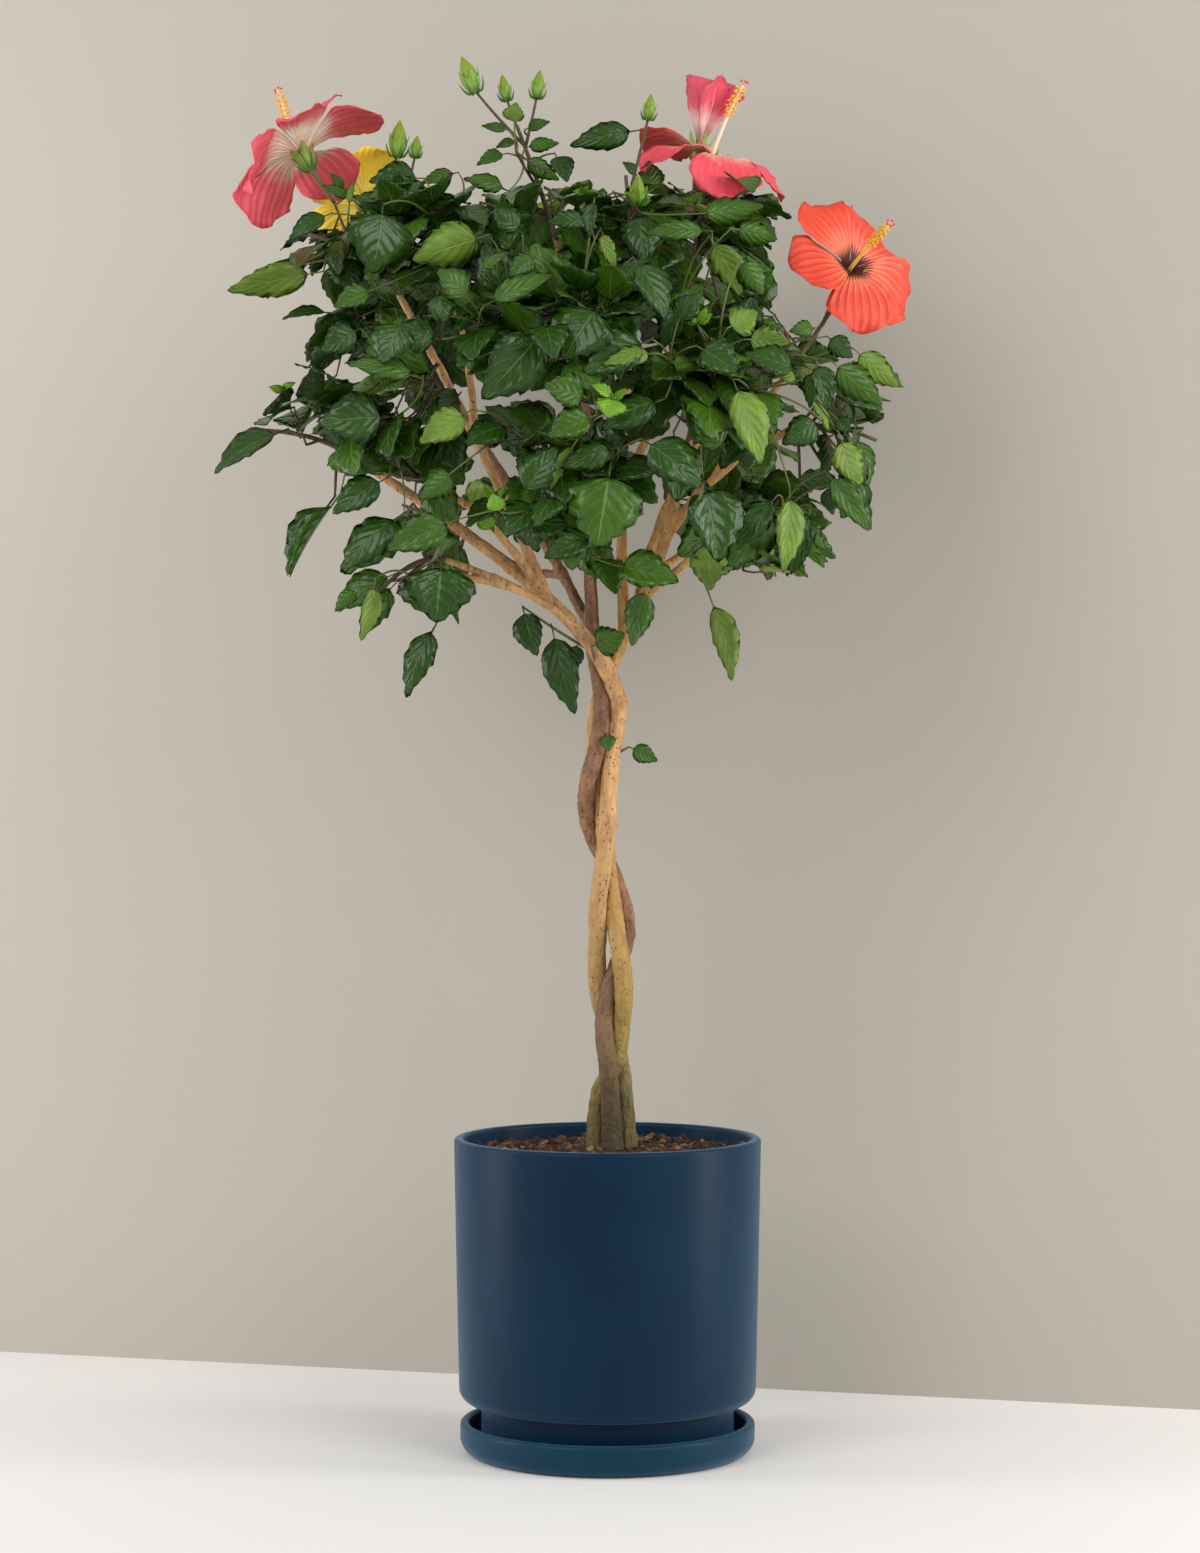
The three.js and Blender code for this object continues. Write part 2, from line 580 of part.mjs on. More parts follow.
// Whether a straight line between two spots passes through a leaf's blade
function pierces(from, to, leaf) {
  const line = to.clone().sub(from);
  const ray = new THREE.Ray(from, line.clone().normalize());
  return bladeEdges(leaf).some((edge) => {
    const hit = ray.intersectTriangle(leaf.root, edge, leaf.tip, false, new THREE.Vector3());
    return hit !== null && hit.distanceTo(from) < line.length();
  });
}

function leavesCross(one, two) {
  const outline = (leaf) => {
    const [left, right] = bladeEdges(leaf);
    return [[leaf.root, left], [left, leaf.tip], [leaf.root, right], [right, leaf.tip],
      [leaf.root, leaf.tip]];
  };
  return outline(one).some(([from, to]) => pierces(from, to, two))
    || outline(two).some(([from, to]) => pierces(from, to, one));
}

function twigFits(mass, twig) {
  for (const along of TWIG_SPOTS) {
    const spot = twig.root.clone().lerp(twig.tip, along);
    const crowded = clearOfLimbs(spot) < TWIG_CLEARANCE || insideBloom(spot);
    if (crowded || roomInside(mass, spot) < TWIG_WALL) {
      return false;
    }
  }
  return true;
}

// A leaf from its root to its tip; its face looks up and out of the crown
function leafAt(root, tip, breadth, tilt) {
  const heading = tip.clone().sub(root).normalize();
  const outward = root.clone().sub(CROWN_HEART).normalize();
  const facing = outward.multiplyScalar(FACE_OUTWARD).addScaledVector(UP, FACE_UPWARD).add(tilt);
  const side = heading.clone().cross(facing).normalize();
  const face = side.clone().cross(heading).normalize();
  return { root, tip, breadth, side, face };
}

// The growing rule: shoots fan out evenly from the stem over the mass's space, and leaves stand
// round each shoot at the golden angle, drooping outwards
function grow(mass) {
  const random = seeded(mass.seed);
  const spread = (size) => (random() - 0.5) * size;
  const outward = mass.centre.clone().sub(CROWN_HEART).normalize();
  const head = mass.centre.clone().addScaledVector(outward, mass.radius * STEM_HEAD);
  const run = head.distanceTo(mass.foot);
  const bend = mass.foot.clone().addScaledVector(mass.heading, run * STEM_BEND);
  const stem = new THREE.QuadraticBezierCurve3(mass.foot, bend, head);
  const leaving = (end) => {
    const along = end.clone().sub(mass.foot).dot(head.clone().sub(mass.foot)) / run ** 2;
    return THREE.MathUtils.clamp(along - SHOOT_LAG, ...SHOOTS_LEAVE);
  };
  const twigs = [];
  const leaves = [];
  const addShoot = (end, trusted) => {
    const twig = { root: stem.getPoint(leaving(end)), tip: end };
    if (trusted || twigFits(mass, twig)) {
      twigs.push(twig);
      return twig;
    }
    return null;
  };
  for (const mark of mass.outer) {
    const root = point(...mark.root);
    addShoot(root, true);
    leaves.push(leafAt(root, point(...mark.tip), mark.breadth, point(0, 0, 0)));
  }
  const carriers = [
    ...mass.blooms.map((bloom) => addShoot(bloom.foot, true)),
    ...mass.buds.map((spot) => addShoot(point(...spot), true)),
  ];
  const shoots = [...carriers];
  for (let count = 0; count < SHOOTS_PER_MASS; count += 1) {
    const rise = 1 - (2 * count + 1) / SHOOTS_PER_MASS;
    const level = Math.sqrt(1 - rise * rise);
    const turn = count * GOLDEN_ANGLE + mass.seed;
    const way = point(level * Math.cos(turn), level * Math.sin(turn), rise);
    const reach = mass.radius * THREE.MathUtils.lerp(...SHOOT_REACH, random());
    if (way.dot(outward) > MOST_INWARD) {
      for (const share of SHOOT_TRIES) {
        const end = mass.centre.clone().addScaledVector(way, reach * share);
        const shoot = addShoot(end, false);
        if (shoot) {
          shoots.push(shoot);
          break;
        }
      }
    }
  }
  shoots.push({ root: stem.getPoint(0.5), tip: head });
  const bare = new Set();
  for (const shoot of shoots) {
    const along = shoot.tip.clone().sub(shoot.root).normalize();
    const leavesBefore = leaves.length;
    const across = along.clone().cross(UP).normalize();
    const over = across.clone().cross(along);
    const start = random() * 2 * Math.PI;
    for (const [count, share] of LEAF_PLACES.entries()) {
      const root = shoot.root.clone().lerp(shoot.tip, share);
      for (let trial = 0; trial < LEAF_TRIALS; trial += 1) {
        const angle = start + (count + trial * LEAF_PLACES.length) * GOLDEN_ANGLE;
        const way = root.clone().sub(CROWN_HEART).normalize().multiplyScalar(LEAF_OUTWARD);
        way.addScaledVector(across, LEAF_FAN * Math.cos(angle));
        way.addScaledVector(over, LEAF_FAN * Math.sin(angle));
        way.addScaledVector(along, share === 1 ? 1 : LEAF_FORWARD);
        way.addScaledVector(UP, spread(DROOP_SPREAD) - LEAF_DROOP);
        way.normalize();
        const length = THREE.MathUtils.lerp(...LEAF_LENGTH, random());
        const tip = root.clone().addScaledVector(way, length);
        const tilt = point(...TILT_SPREAD.map(spread));
        const leaf = leafAt(root, tip, length * LEAF_BREADTH_SHARE, tilt);
        const inTheWay = leaves.some((other) => leavesCross(leaf, other))
          || twigs.some((twig) => twig !== shoot && pierces(twig.root, twig.tip, leaf));
        if (!inTheWay && leafFits(mass, leaf)) {
          leaves.push(leaf);
          break;
        }
      }
    }
    if (leaves.length === leavesBefore && !carriers.includes(shoot)) {
      bare.add(shoot);
    }
  }
  return { stem, twigs: twigs.filter((twig) => !bare.has(twig)), leaves };
}

// Leaf solid: a slim blade, flat above and keeled along its midrib below
function leafSolid(leaf) {
  const heading = leaf.tip.clone().sub(leaf.root).normalize();
  const root = leaf.root.clone().addScaledVector(heading, -LEAF_ROOT_DEPTH);
  const [left, right] = bladeEdges(leaf);
  const blade = new THREE.BufferGeometry().setFromPoints([root, left, leaf.tip, right]);
  blade.setIndex([0, 3, 1, 1, 3, 2, 0, 1, 2, 0, 2, 3]);
  return solidOf(blade);
}

// Bud: a pointed green bud at the end of its twig
function budSolid(twig) {
  const heading = twig.tip.clone().sub(twig.root).normalize().add(UP).normalize();
  const root = twig.tip.clone().addScaledVector(heading, -BUD_SINK);
  const tip = twig.tip.clone().addScaledVector(heading, BUD_LENGTH - BUD_SINK);
  const plump = (along) => 0.6 + BUD_RADIUS * Math.sin(Math.PI * along ** 0.7);
  return barAlong(new THREE.LineCurve3(root, tip), plump, 4, 2);
}

function foliage(mass) {
  const { stem, twigs, leaves } = mass.growth;
  const solids = [barAlong(stem, taper(...STEM_TWIG), STEM_TWIG_SIDES, 3)];
  for (const twig of twigs) {
    const line = new THREE.LineCurve3(twig.root, twig.tip);
    solids.push(barAlong(line, taper(...SIDE_TWIG), SIDE_TWIG_SIDES, 1));
  }
  for (const leaf of leaves) {
    solids.push(leafSolid(leaf));
  }
  for (const spot of mass.buds) {
    const twig = twigs.find(({ tip }) => tip.equals(point(...spot)));
    solids.push(budSolid(twig));
  }
  return meshOf(mass.name, geometryOf(fused(solids)), LEAF_GREEN);
}

function trunkShoot(plan) {
  const line = new THREE.LineCurve3(...plan.stalk.map((spot) => point(...spot)));
  const solids = [barAlong(line, taper(...SIDE_TWIG), STEM_TWIG_SIDES, 1)];
  for (const { root, tip, breadth } of plan.leaves) {
    solids.push(leafSolid(leafAt(point(...root), point(...tip), breadth, point(0, -1, 0))));
  }
  let shoot = fused(solids);
  for (const { swollen } of limbs.values()) {
    shoot = shoot.subtract(swollen);
  }
  return meshOf(plan.name, geometryOf(oneBody(shoot)), YOUNG_GREEN);
}

// Bloom: five petals from a green calyx, round a long column that carries the pollen

function petalSolid(bloom, count) {
  const petal = new THREE.BoxGeometry(1, 1, 1, 3, 2, 1);
  const place = petal.attributes.position;
  const [start, end] = bloom.spread.map(THREE.MathUtils.degToRad);
  const turn = (count * 2 * Math.PI) / bloom.petals;
  const rise = new THREE.QuadraticBezierCurve(
    new THREE.Vector2(0, 0),
    new THREE.Vector2(Math.sin(start), Math.cos(start)).multiplyScalar(bloom.petal * 0.5),
    new THREE.Vector2(Math.sin(end), Math.cos(end)).multiplyScalar(bloom.petal * 0.95),
  );
  const fullness = bloom.petal * (bloom.closed ? CLOSED_SHARE : 1);
  for (let index = 0; index < place.count; index += 1) {
    const along = place.getX(index) + 0.5;
    const width = fullness * PETAL_WIDTHS[Math.round(along * 3)];
    const middle = rise.getPoint(along);
    const heading = rise.getTangent(along);
    const thick = place.getZ(index) * PETAL_THICKNESS;
    const out = middle.x - thick * heading.y + PETAL_ROOT;
    const up = middle.y + thick * heading.x + Math.abs(place.getY(index)) * width * PETAL_CUP;
    const aside = place.getY(index) * width;
    place.setXYZ(
      index,
      out * Math.cos(turn) - aside * Math.sin(turn),
      out * Math.sin(turn) + aside * Math.cos(turn),
      up,
    );
  }
  return solidOf(petal);
}

function bloomMesh(bloom) {
  const facing = new THREE.Quaternion().setFromUnitVectors(UP, bloom.face);
  const unturn = facing.clone().invert();
  const toFlower = (spot) => spot.clone().sub(bloom.throat).applyQuaternion(unturn);
  const calyx = new THREE.LineCurve3(point(0, 0, -CALYX_LENGTH), point(0, 0, 4));
  const column = new THREE.LineCurve3(point(0, 0, 0), point(0, 0, bloom.petal * COLUMN_REACH));
  const stalk = new THREE.QuadraticBezierCurve3(...bloom.stalk.map(toFlower));
  const solids = [
    barAlong(calyx, taper(4, 7.5), 5, 1),
    barAlong(column, taper(2, 1.2), 4, 1),
    barAlong(stalk, taper(...STALK_RADII), 4, 2),
  ];
  for (let count = 0; count < bloom.petals; count += 1) {
    solids.push(petalSolid(bloom, count));
  }
  const mesh = meshOf(bloom.name, geometryOf(fused(solids)), bloom.finish);
  mesh.position.copy(bloom.throat);
  mesh.quaternion.copy(facing);
  return mesh;
}

// The plant is planned from its limbs outwards: the trunk and boughs, then the flower stalks,
// then each mass in the room that is left

braidedStems();
boughs();

const masses = MASSES.map((plan, index) => {
  const { curve } = limbs.get(plan.bough);
  const heading = curve.getTangent(1);
  return {
    name: plan.name,
    centre: point(...plan.centre),
    radius: plan.radius,
    foot: curve.getPoint(1).addScaledVector(heading, GAP),
    heading,
    outer: plan.outer ?? [],
    buds: plan.buds ?? [],
    blooms: [],
    seed: index + 1,
  };
});

const blooms = BLOOMS.map((plan) => {
  const mass = masses.find(({ name }) => name === plan.mass);
  const throat = point(...plan.throat);
  const face = point(...plan.face).normalize();
  const foot = point(...plan.foot);
  const bloom = { petals: PETALS, ...plan, throat, face, foot };
  mass.blooms.push(bloom);
  return bloom;
});

const limbBeads = [];

function addBeads(curve, radiusAt) {
  for (let bead = 0; bead <= BEADS_PER_LIMB; bead += 1) {
    const along = bead / BEADS_PER_LIMB;
    limbBeads.push({ spot: curve.getPoint(along), radius: radiusAt(along) });
  }
}

for (const { curve, radiusAt } of limbs.values()) {
  addBeads(curve, radiusAt);
}
for (const bloom of blooms) {
  const calyxEnd = bloom.throat.clone().addScaledVector(bloom.face, -CALYX_SEAT);
  const bend = bloom.foot.clone().lerp(calyxEnd, 0.6);
  bloom.stalk = [bloom.foot, bend, calyxEnd];
  addBeads(new THREE.QuadraticBezierCurve3(...bloom.stalk), taper(...STALK_RADII));
}
for (const mass of masses) {
  mass.growth = grow(mass);
}
for (const bloom of blooms) {
  const { twigs } = masses.find(({ name }) => name === bloom.mass).growth;
  const twig = twigs.find(({ tip }) => tip.equals(bloom.foot));
  const heading = twig.tip.clone().sub(twig.root).normalize();
  bloom.stalk[0] = bloom.foot.clone().addScaledVector(heading, GAP);
  bloom.stalk[1] = bloom.foot.clone().addScaledVector(heading, CALYX_SEAT);
}

const hibiscus = new THREE.Group();
const potted = new THREE.Group();
potted.position.z = POT_SEAT;
potted.add(pot(), soil());
hibiscus.add(saucer(), potted);
for (const { name, solid, finish } of limbs.values()) {
  hibiscus.add(meshOf(name, geometryOf(solid), finish));
}
for (const mass of masses) {
  hibiscus.add(foliage(mass));
}
for (const plan of TRUNK_SHOOTS) {
  hibiscus.add(trunkShoot(plan));
}
for (const bloom of blooms) {
  hibiscus.add(bloomMesh(bloom));
}

export default hibiscus;
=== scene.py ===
import json
import math

import bpy
import numpy as np
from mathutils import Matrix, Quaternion, Vector, noise
from mathutils.bvhtree import BVHTree

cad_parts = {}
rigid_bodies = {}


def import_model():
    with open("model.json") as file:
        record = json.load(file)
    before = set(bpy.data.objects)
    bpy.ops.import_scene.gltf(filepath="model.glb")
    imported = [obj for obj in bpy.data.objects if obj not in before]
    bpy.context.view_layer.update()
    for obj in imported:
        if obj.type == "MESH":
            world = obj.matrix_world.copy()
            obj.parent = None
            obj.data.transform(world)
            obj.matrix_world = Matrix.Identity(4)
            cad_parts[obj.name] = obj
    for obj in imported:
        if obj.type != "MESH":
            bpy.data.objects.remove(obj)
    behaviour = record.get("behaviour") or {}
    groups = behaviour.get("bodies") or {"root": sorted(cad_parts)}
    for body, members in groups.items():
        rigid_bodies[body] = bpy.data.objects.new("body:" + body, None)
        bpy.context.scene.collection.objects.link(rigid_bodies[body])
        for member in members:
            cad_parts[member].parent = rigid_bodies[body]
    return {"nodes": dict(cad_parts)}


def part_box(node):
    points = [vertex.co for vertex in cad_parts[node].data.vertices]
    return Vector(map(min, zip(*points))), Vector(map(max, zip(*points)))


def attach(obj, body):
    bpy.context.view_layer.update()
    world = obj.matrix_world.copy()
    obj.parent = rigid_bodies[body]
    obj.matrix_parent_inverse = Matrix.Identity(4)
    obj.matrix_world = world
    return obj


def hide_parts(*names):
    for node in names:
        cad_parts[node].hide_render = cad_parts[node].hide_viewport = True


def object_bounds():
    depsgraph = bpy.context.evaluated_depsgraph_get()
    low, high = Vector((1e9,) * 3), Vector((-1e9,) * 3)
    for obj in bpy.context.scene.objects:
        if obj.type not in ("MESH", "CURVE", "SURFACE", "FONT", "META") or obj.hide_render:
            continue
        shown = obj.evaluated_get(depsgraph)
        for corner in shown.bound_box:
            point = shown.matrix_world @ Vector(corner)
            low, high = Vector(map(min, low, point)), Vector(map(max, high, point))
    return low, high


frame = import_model()
nodes = frame["nodes"]
cad_low, cad_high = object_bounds()


# Saucer: a low round dish of stoneware, turned on a wheel, dipped in a satin deep-blue glaze
# and fired. It stands loose on the floor and catches the water that drains from the pot.

MM = 0.001
UP = Vector((0, 0, 1))
ROOT = "root"


def paint(red, green, blue):
    """A colour given as it looks on a screen, 0 to 255, in the linear values that a shader takes."""
    return tuple(((c / 255 + 0.055) / 1.055) ** 2.4 if c > 10 else c / 255 / 12.92
                 for c in (red, green, blue))


def start_material(name, colour, roughness):
    material = bpy.data.materials.new(name)
    material.use_nodes = True
    material.diffuse_color = (*colour, 1)
    shader = material.node_tree.nodes["Principled BSDF"]
    shader.inputs["Base Color"].default_value = (*colour, 1)
    shader.inputs["Roughness"].default_value = roughness
    return material, material.node_tree, shader


def set_input(tree, socket, value):
    """Gives a socket a number or a colour of its own, or a link from another node's output."""
    if isinstance(value, bpy.types.NodeSocket):
        tree.links.new(value, socket)
    else:
        socket.default_value = (*value, 1) if isinstance(value, tuple) else value


def cloud(tree, coordinates, scale, detail):
    texture = tree.nodes.new("ShaderNodeTexNoise")
    texture.inputs["Detail"].default_value = detail
    tree.links.new(coordinates, texture.inputs["Vector"])
    set_input(tree, texture.inputs["Scale"], scale)
    return texture.outputs["Fac"]


def remap(tree, value, low, high, to_low=0.0, to_high=1.0):
    node = tree.nodes.new("ShaderNodeMapRange")
    node.interpolation_type = "SMOOTHSTEP"
    for name, number in (("From Min", low), ("From Max", high), ("To Min", to_low), ("To Max", to_high)):
        node.inputs[name].default_value = number
    tree.links.new(value, node.inputs["Value"])
    return node.outputs["Result"]


def blend_colours(tree, share, one, other):
    node = tree.nodes.new("ShaderNodeMix")
    node.data_type = "RGBA"
    tree.links.new(share, node.inputs["Factor"])
    for name, colour in (("A", one), ("B", other)):
        set_input(tree, next(s for s in node.inputs if s.name == name and s.type == "RGBA"), colour)
    return next(s for s in node.outputs if s.type == "RGBA")


def math_node(tree, operation, *values):
    node = tree.nodes.new("ShaderNodeMath")
    node.operation = operation
    for slot, value in enumerate(values):
        set_input(tree, node.inputs[slot], value)
    return node.outputs["Value"]


def piece_coordinates(tree):
    return tree.nodes.new("ShaderNodeTexCoord").outputs["Object"]


def pattern_group(name, colours, numbers=(), results=("Relief",)):
    """A pattern that several materials wear. Gives its tree, its inputs and its outputs."""
    group = bpy.data.node_groups.new(name, "ShaderNodeTree")
    sockets = [(colour, "INPUT", "Color") for colour in colours]
    sockets += [(number, "INPUT", "Float") for number in numbers]
    sockets += [("Color", "OUTPUT", "Color")] + [(result, "OUTPUT", "Float") for result in results]
    for socket, side, kind in sockets:
        group.interface.new_socket(socket, in_out=side, socket_type="NodeSocket" + kind)
    return group, group.nodes.new("NodeGroupInput").outputs, group.nodes.new("NodeGroupOutput").inputs


def wear(name, group, roughness, depth, **values):
    """A material that wears a pattern in its own colours, with relief of a depth in metres."""
    base = next(iter(values.values()))
    material, tree, shader = start_material(name, base, roughness)
    pattern = tree.nodes.new("ShaderNodeGroup")
    pattern.node_tree = group
    for socket, value in values.items():
        set_input(tree, pattern.inputs[socket], value)
    tree.links.new(pattern.outputs["Color"], shader.inputs["Base Color"])
    if "Roughness" in pattern.outputs:
        tree.links.new(pattern.outputs["Roughness"], shader.inputs["Roughness"])
    bump = tree.nodes.new("ShaderNodeBump")
    bump.inputs["Distance"].default_value = depth
    tree.links.new(pattern.outputs["Relief"], bump.inputs["Height"])
    tree.links.new(bump.outputs["Normal"], shader.inputs["Normal"])
    return material, shader


def glaze_pattern():
    """Glaze that pooled a little darker in places, with a fine speckle in its gloss."""
    group, given, results = pattern_group(
        "glaze_drift", ("Blue", "Pooled"), results=("Roughness", "Relief"))
    where = piece_coordinates(group)
    drifts = remap(group, cloud(group, where, 9, 2), 0.35, 0.7)
    group.links.new(blend_colours(group, drifts, given["Blue"], given["Pooled"]), results["Color"])
    gloss = remap(group, cloud(group, where, 900, 2), 0.3, 0.7, 0.36, 0.44)
    group.links.new(gloss, results["Roughness"])
    group.links.new(cloud(group, where, 60, 2), results["Relief"])
    return group


glaze_group = glaze_pattern()


def glaze_finish(name, blue, pooled):
    material, shader = wear(name, glaze_group, 0.4, 0.0003, Blue=blue, Pooled=pooled)
    shader.inputs["Specular IOR Level"].default_value = 0.1
    shader.inputs["Coat Weight"].default_value = 0.04
    shader.inputs["Coat Roughness"].default_value = 0.3
    shader.inputs["Sheen Weight"].default_value = 0.27
    shader.inputs["Sheen Roughness"].default_value = 0.5
    shader.inputs["Sheen Tint"].default_value = (*paint(150, 205, 255), 1)
    return material


def select_only(piece):
    bpy.ops.object.select_all(action="DESELECT")
    piece.select_set(True)
    bpy.context.view_layer.objects.active = piece


def turn_piece(name, rings, finish):
    """Draws a turned shape up ring by ring; a profile that closes on itself leaves a hole."""
    open_middle = rings[0] == rings[-1]
    radius, height = rings[0]
    bpy.ops.object.select_all(action="DESELECT")
    bpy.ops.mesh.primitive_circle_add(
        vertices=144, radius=radius, fill_type="NOTHING" if open_middle else "NGON",
        calc_uvs=False, location=(0, 0, height))
    piece = bpy.context.object
    piece.name = name
    bpy.ops.object.mode_set(mode="EDIT")
    for wider, higher in rings[1:]:
        bpy.ops.mesh.extrude_region_move(TRANSFORM_OT_translate={"value": (0, 0, higher - height)})
        share = wider / radius
        bpy.ops.transform.resize(value=(share, share, 1), center_override=(0, 0, higher))
        radius, height = wider, higher
    bpy.ops.mesh.select_all(action="SELECT")
    bpy.ops.mesh.remove_doubles(threshold=0.00001)
    bpy.ops.mesh.normals_make_consistent(inside=False)
    bpy.ops.object.mode_set(mode="OBJECT")
    bpy.ops.object.transform_apply(location=True)
    bpy.ops.object.shade_smooth_by_angle(angle=math.radians(40))
    piece.data.materials.append(finish)
    return piece


def round_corner(radius, height, size, start, end, steps=6):
    """The rings of a rounded corner, from one angle of its arc to the other, in degrees."""
    angles = [math.radians(start + (end - start) * step / steps) for step in range(steps + 1)]
    return [(radius + size * math.cos(a), height + size * math.sin(a)) for a in angles]


# The saucer wears the pot's glaze in lighter blues: painted light, standing for the light it catches from
# above.
saucer_glaze_painted_lighter = glaze_finish("saucer_glaze_painted_lighter", paint(8, 48, 67), paint(5, 42, 61))
saucer_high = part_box("saucer")[1]
saucer_radius, saucer_top = saucer_high.x, saucer_high.z
saucer_wall = 8 * MM
saucer_floor = 7 * MM
saucer_cove = 6 * MM
saucer_skirt = 14 * MM
saucer_lip = saucer_wall / 2
saucer_inside = saucer_radius - saucer_wall

saucer = turn_piece("saucer_glazed", [
    (0.4 * saucer_radius, 0), (0.8 * saucer_radius, 0),
    *round_corner(saucer_radius - saucer_skirt, saucer_skirt, saucer_skirt, -90, 0, 10),
    *round_corner(saucer_radius - saucer_lip, saucer_top - saucer_lip, saucer_lip, 0, 180, 12),
    *round_corner(saucer_inside - saucer_cove, saucer_floor + saucer_cove, saucer_cove, 0, -90),
    (0.5 * saucer_radius, saucer_floor),
], saucer_glaze_painted_lighter)
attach(saucer, ROOT)
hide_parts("saucer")


# Pot: a straight-sided stoneware pot from the same glaze bath, with a soft corner at its
# bottom, a thin rounded rim, and a narrower foot with a drain hole that stands in the saucer.

pot_low, pot_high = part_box("pot")
rim_radius, rim_top, pot_seat = pot_high.x, pot_high.z, pot_low.z
body_radius = 130.5 * MM
body_bottom = 45 * MM
body_corner = 12 * MM
foot_radius = 111 * MM
foot_edge = 1.5 * MM
pot_wall = 9 * MM
pot_floor = pot_seat + 10 * MM
rim_round = 3.5 * MM
drain_radius = 9 * MM

pot_glaze = glaze_finish("pot_glaze", paint(0, 33, 54), paint(0, 28, 48))
pot = turn_piece("pot_glazed", [
    (drain_radius, pot_seat), (foot_radius / 2, pot_seat),
    *round_corner(foot_radius - foot_edge, pot_seat + foot_edge, foot_edge, -90, 0, 3),
    *round_corner(foot_radius + 3 * MM, body_bottom - 3 * MM, 3 * MM, 180, 90, 4),
    *round_corner(body_radius - body_corner, body_bottom + body_corner, body_corner, -90, 0, 10),
    ((body_radius + rim_radius) / 2, (body_bottom + rim_top) / 2),
    *round_corner(rim_radius - rim_round, rim_top - rim_round, rim_round, 0, 90, 8),
    *round_corner(rim_radius - pot_wall + rim_round, rim_top - rim_round, rim_round, 90, 180, 8),
    (body_radius - pot_wall, body_bottom + 10 * MM),
    (foot_radius - pot_wall, body_bottom - 2 * MM), (foot_radius - pot_wall, pot_floor),
    (drain_radius, pot_floor), (drain_radius, pot_seat),
], pot_glaze)
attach(pot, ROOT)
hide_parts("pot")


# Soil: moist potting mix, dark peat with bark chips and a few pale crumbs. It fills the pot
# to a finger's breadth under its rim and lies a little higher round the trunk.

def soil_pattern():
    """Crumbs of two shades, heaped in a rough relief."""
    group, given, results = pattern_group("soil_crumbs", ("Damp", "Dry"))
    where = piece_coordinates(group)
    crumbs = remap(group, cloud(group, where, 420, 4), 0.35, 0.7)
    group.links.new(blend_colours(group, crumbs, given["Damp"], given["Dry"]), results["Color"])
    group.links.new(cloud(group, where, 700, 4), results["Relief"])
    return group


soil_group = soil_pattern()


def soil_finish(name, damp, dry):
    return wear(name, soil_group, 0.92, 0.0012, Damp=damp, Dry=dry)[0]


def crumble(spot):
    """How far the soil lies above its mean level at a spot, in broad heaps and in crumbs."""
    return 2.2 * MM * noise.noise(spot * 22) + 1.6 * MM * noise.noise(spot * 130)


def join_copies(name, model, frames, finishes, kinds=None):
    """Joins copies of a model into one mesh. Each frame is the place of the model's origin and
    then its x, y and z axes; kinds says which set of finishes each copy wears."""
    frames = np.asarray(frames, float).reshape(-1, 4, 3)
    mesh = model.data
    count, points, corners, faces = len(frames), len(mesh.vertices), len(mesh.loops), len(mesh.polygons)
    shape = np.zeros(points * 3)
    mesh.vertices.foreach_get("co", shape)
    spots = frames[:, None, 0] + np.einsum("vk,nkc->nvc", shape.reshape(-1, 3), frames[:, 1:])
    corner_of = np.zeros(corners, int)
    mesh.loops.foreach_get("vertex_index", corner_of)
    starts, slots = np.zeros(faces, int), np.zeros(faces, int)
    mesh.polygons.foreach_get("loop_start", starts)
    mesh.polygons.foreach_get("material_index", slots)
    kinds = np.zeros(count, int) if kinds is None else np.asarray(kinds)
    steps = np.arange(count)[:, None]
    joined = bpy.data.meshes.new(name)
    joined.vertices.add(count * points)
    joined.loops.add(count * corners)
    joined.polygons.add(count * faces)
    joined.vertices.foreach_set("co", spots.ravel())
    joined.loops.foreach_set("vertex_index", (corner_of + points * steps).ravel())
    joined.polygons.foreach_set("loop_start", (starts + corners * steps).ravel())
    sets = max(1, len(mesh.materials))
    joined.polygons.foreach_set("material_index", (slots + sets * kinds[:, None]).ravel())
    joined.polygons.foreach_set("use_smooth", np.ones(count * faces, bool))
    if mesh.uv_layers:
        pattern = np.zeros(corners * 2)
        mesh.uv_layers.active.data.foreach_get("uv", pattern)
        joined.uv_layers.new(name="UVMap").data.foreach_set("uv", np.tile(pattern, count))
    joined.update(calc_edges=True)
    for finish in finishes:
        joined.materials.append(finish)
    piece = bpy.data.objects.new(name, joined)
    bpy.context.scene.collection.objects.link(piece)
    return piece


def seeded(seed):
    """The same run of numbers from 0 to 1 each time, from a seed."""
    state = seed

    def draw():
        nonlocal state
        state = state * 48271 % 2147483647
        return state / 2147483647
    return draw


soil_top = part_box("soil")[1].z
soil_radius = rim_radius - pot_wall - 1.2 * MM
soil_rings = 60
chip_count = 1900
peat = soil_finish("damp_peat", paint(36, 22, 12), paint(70, 45, 26))

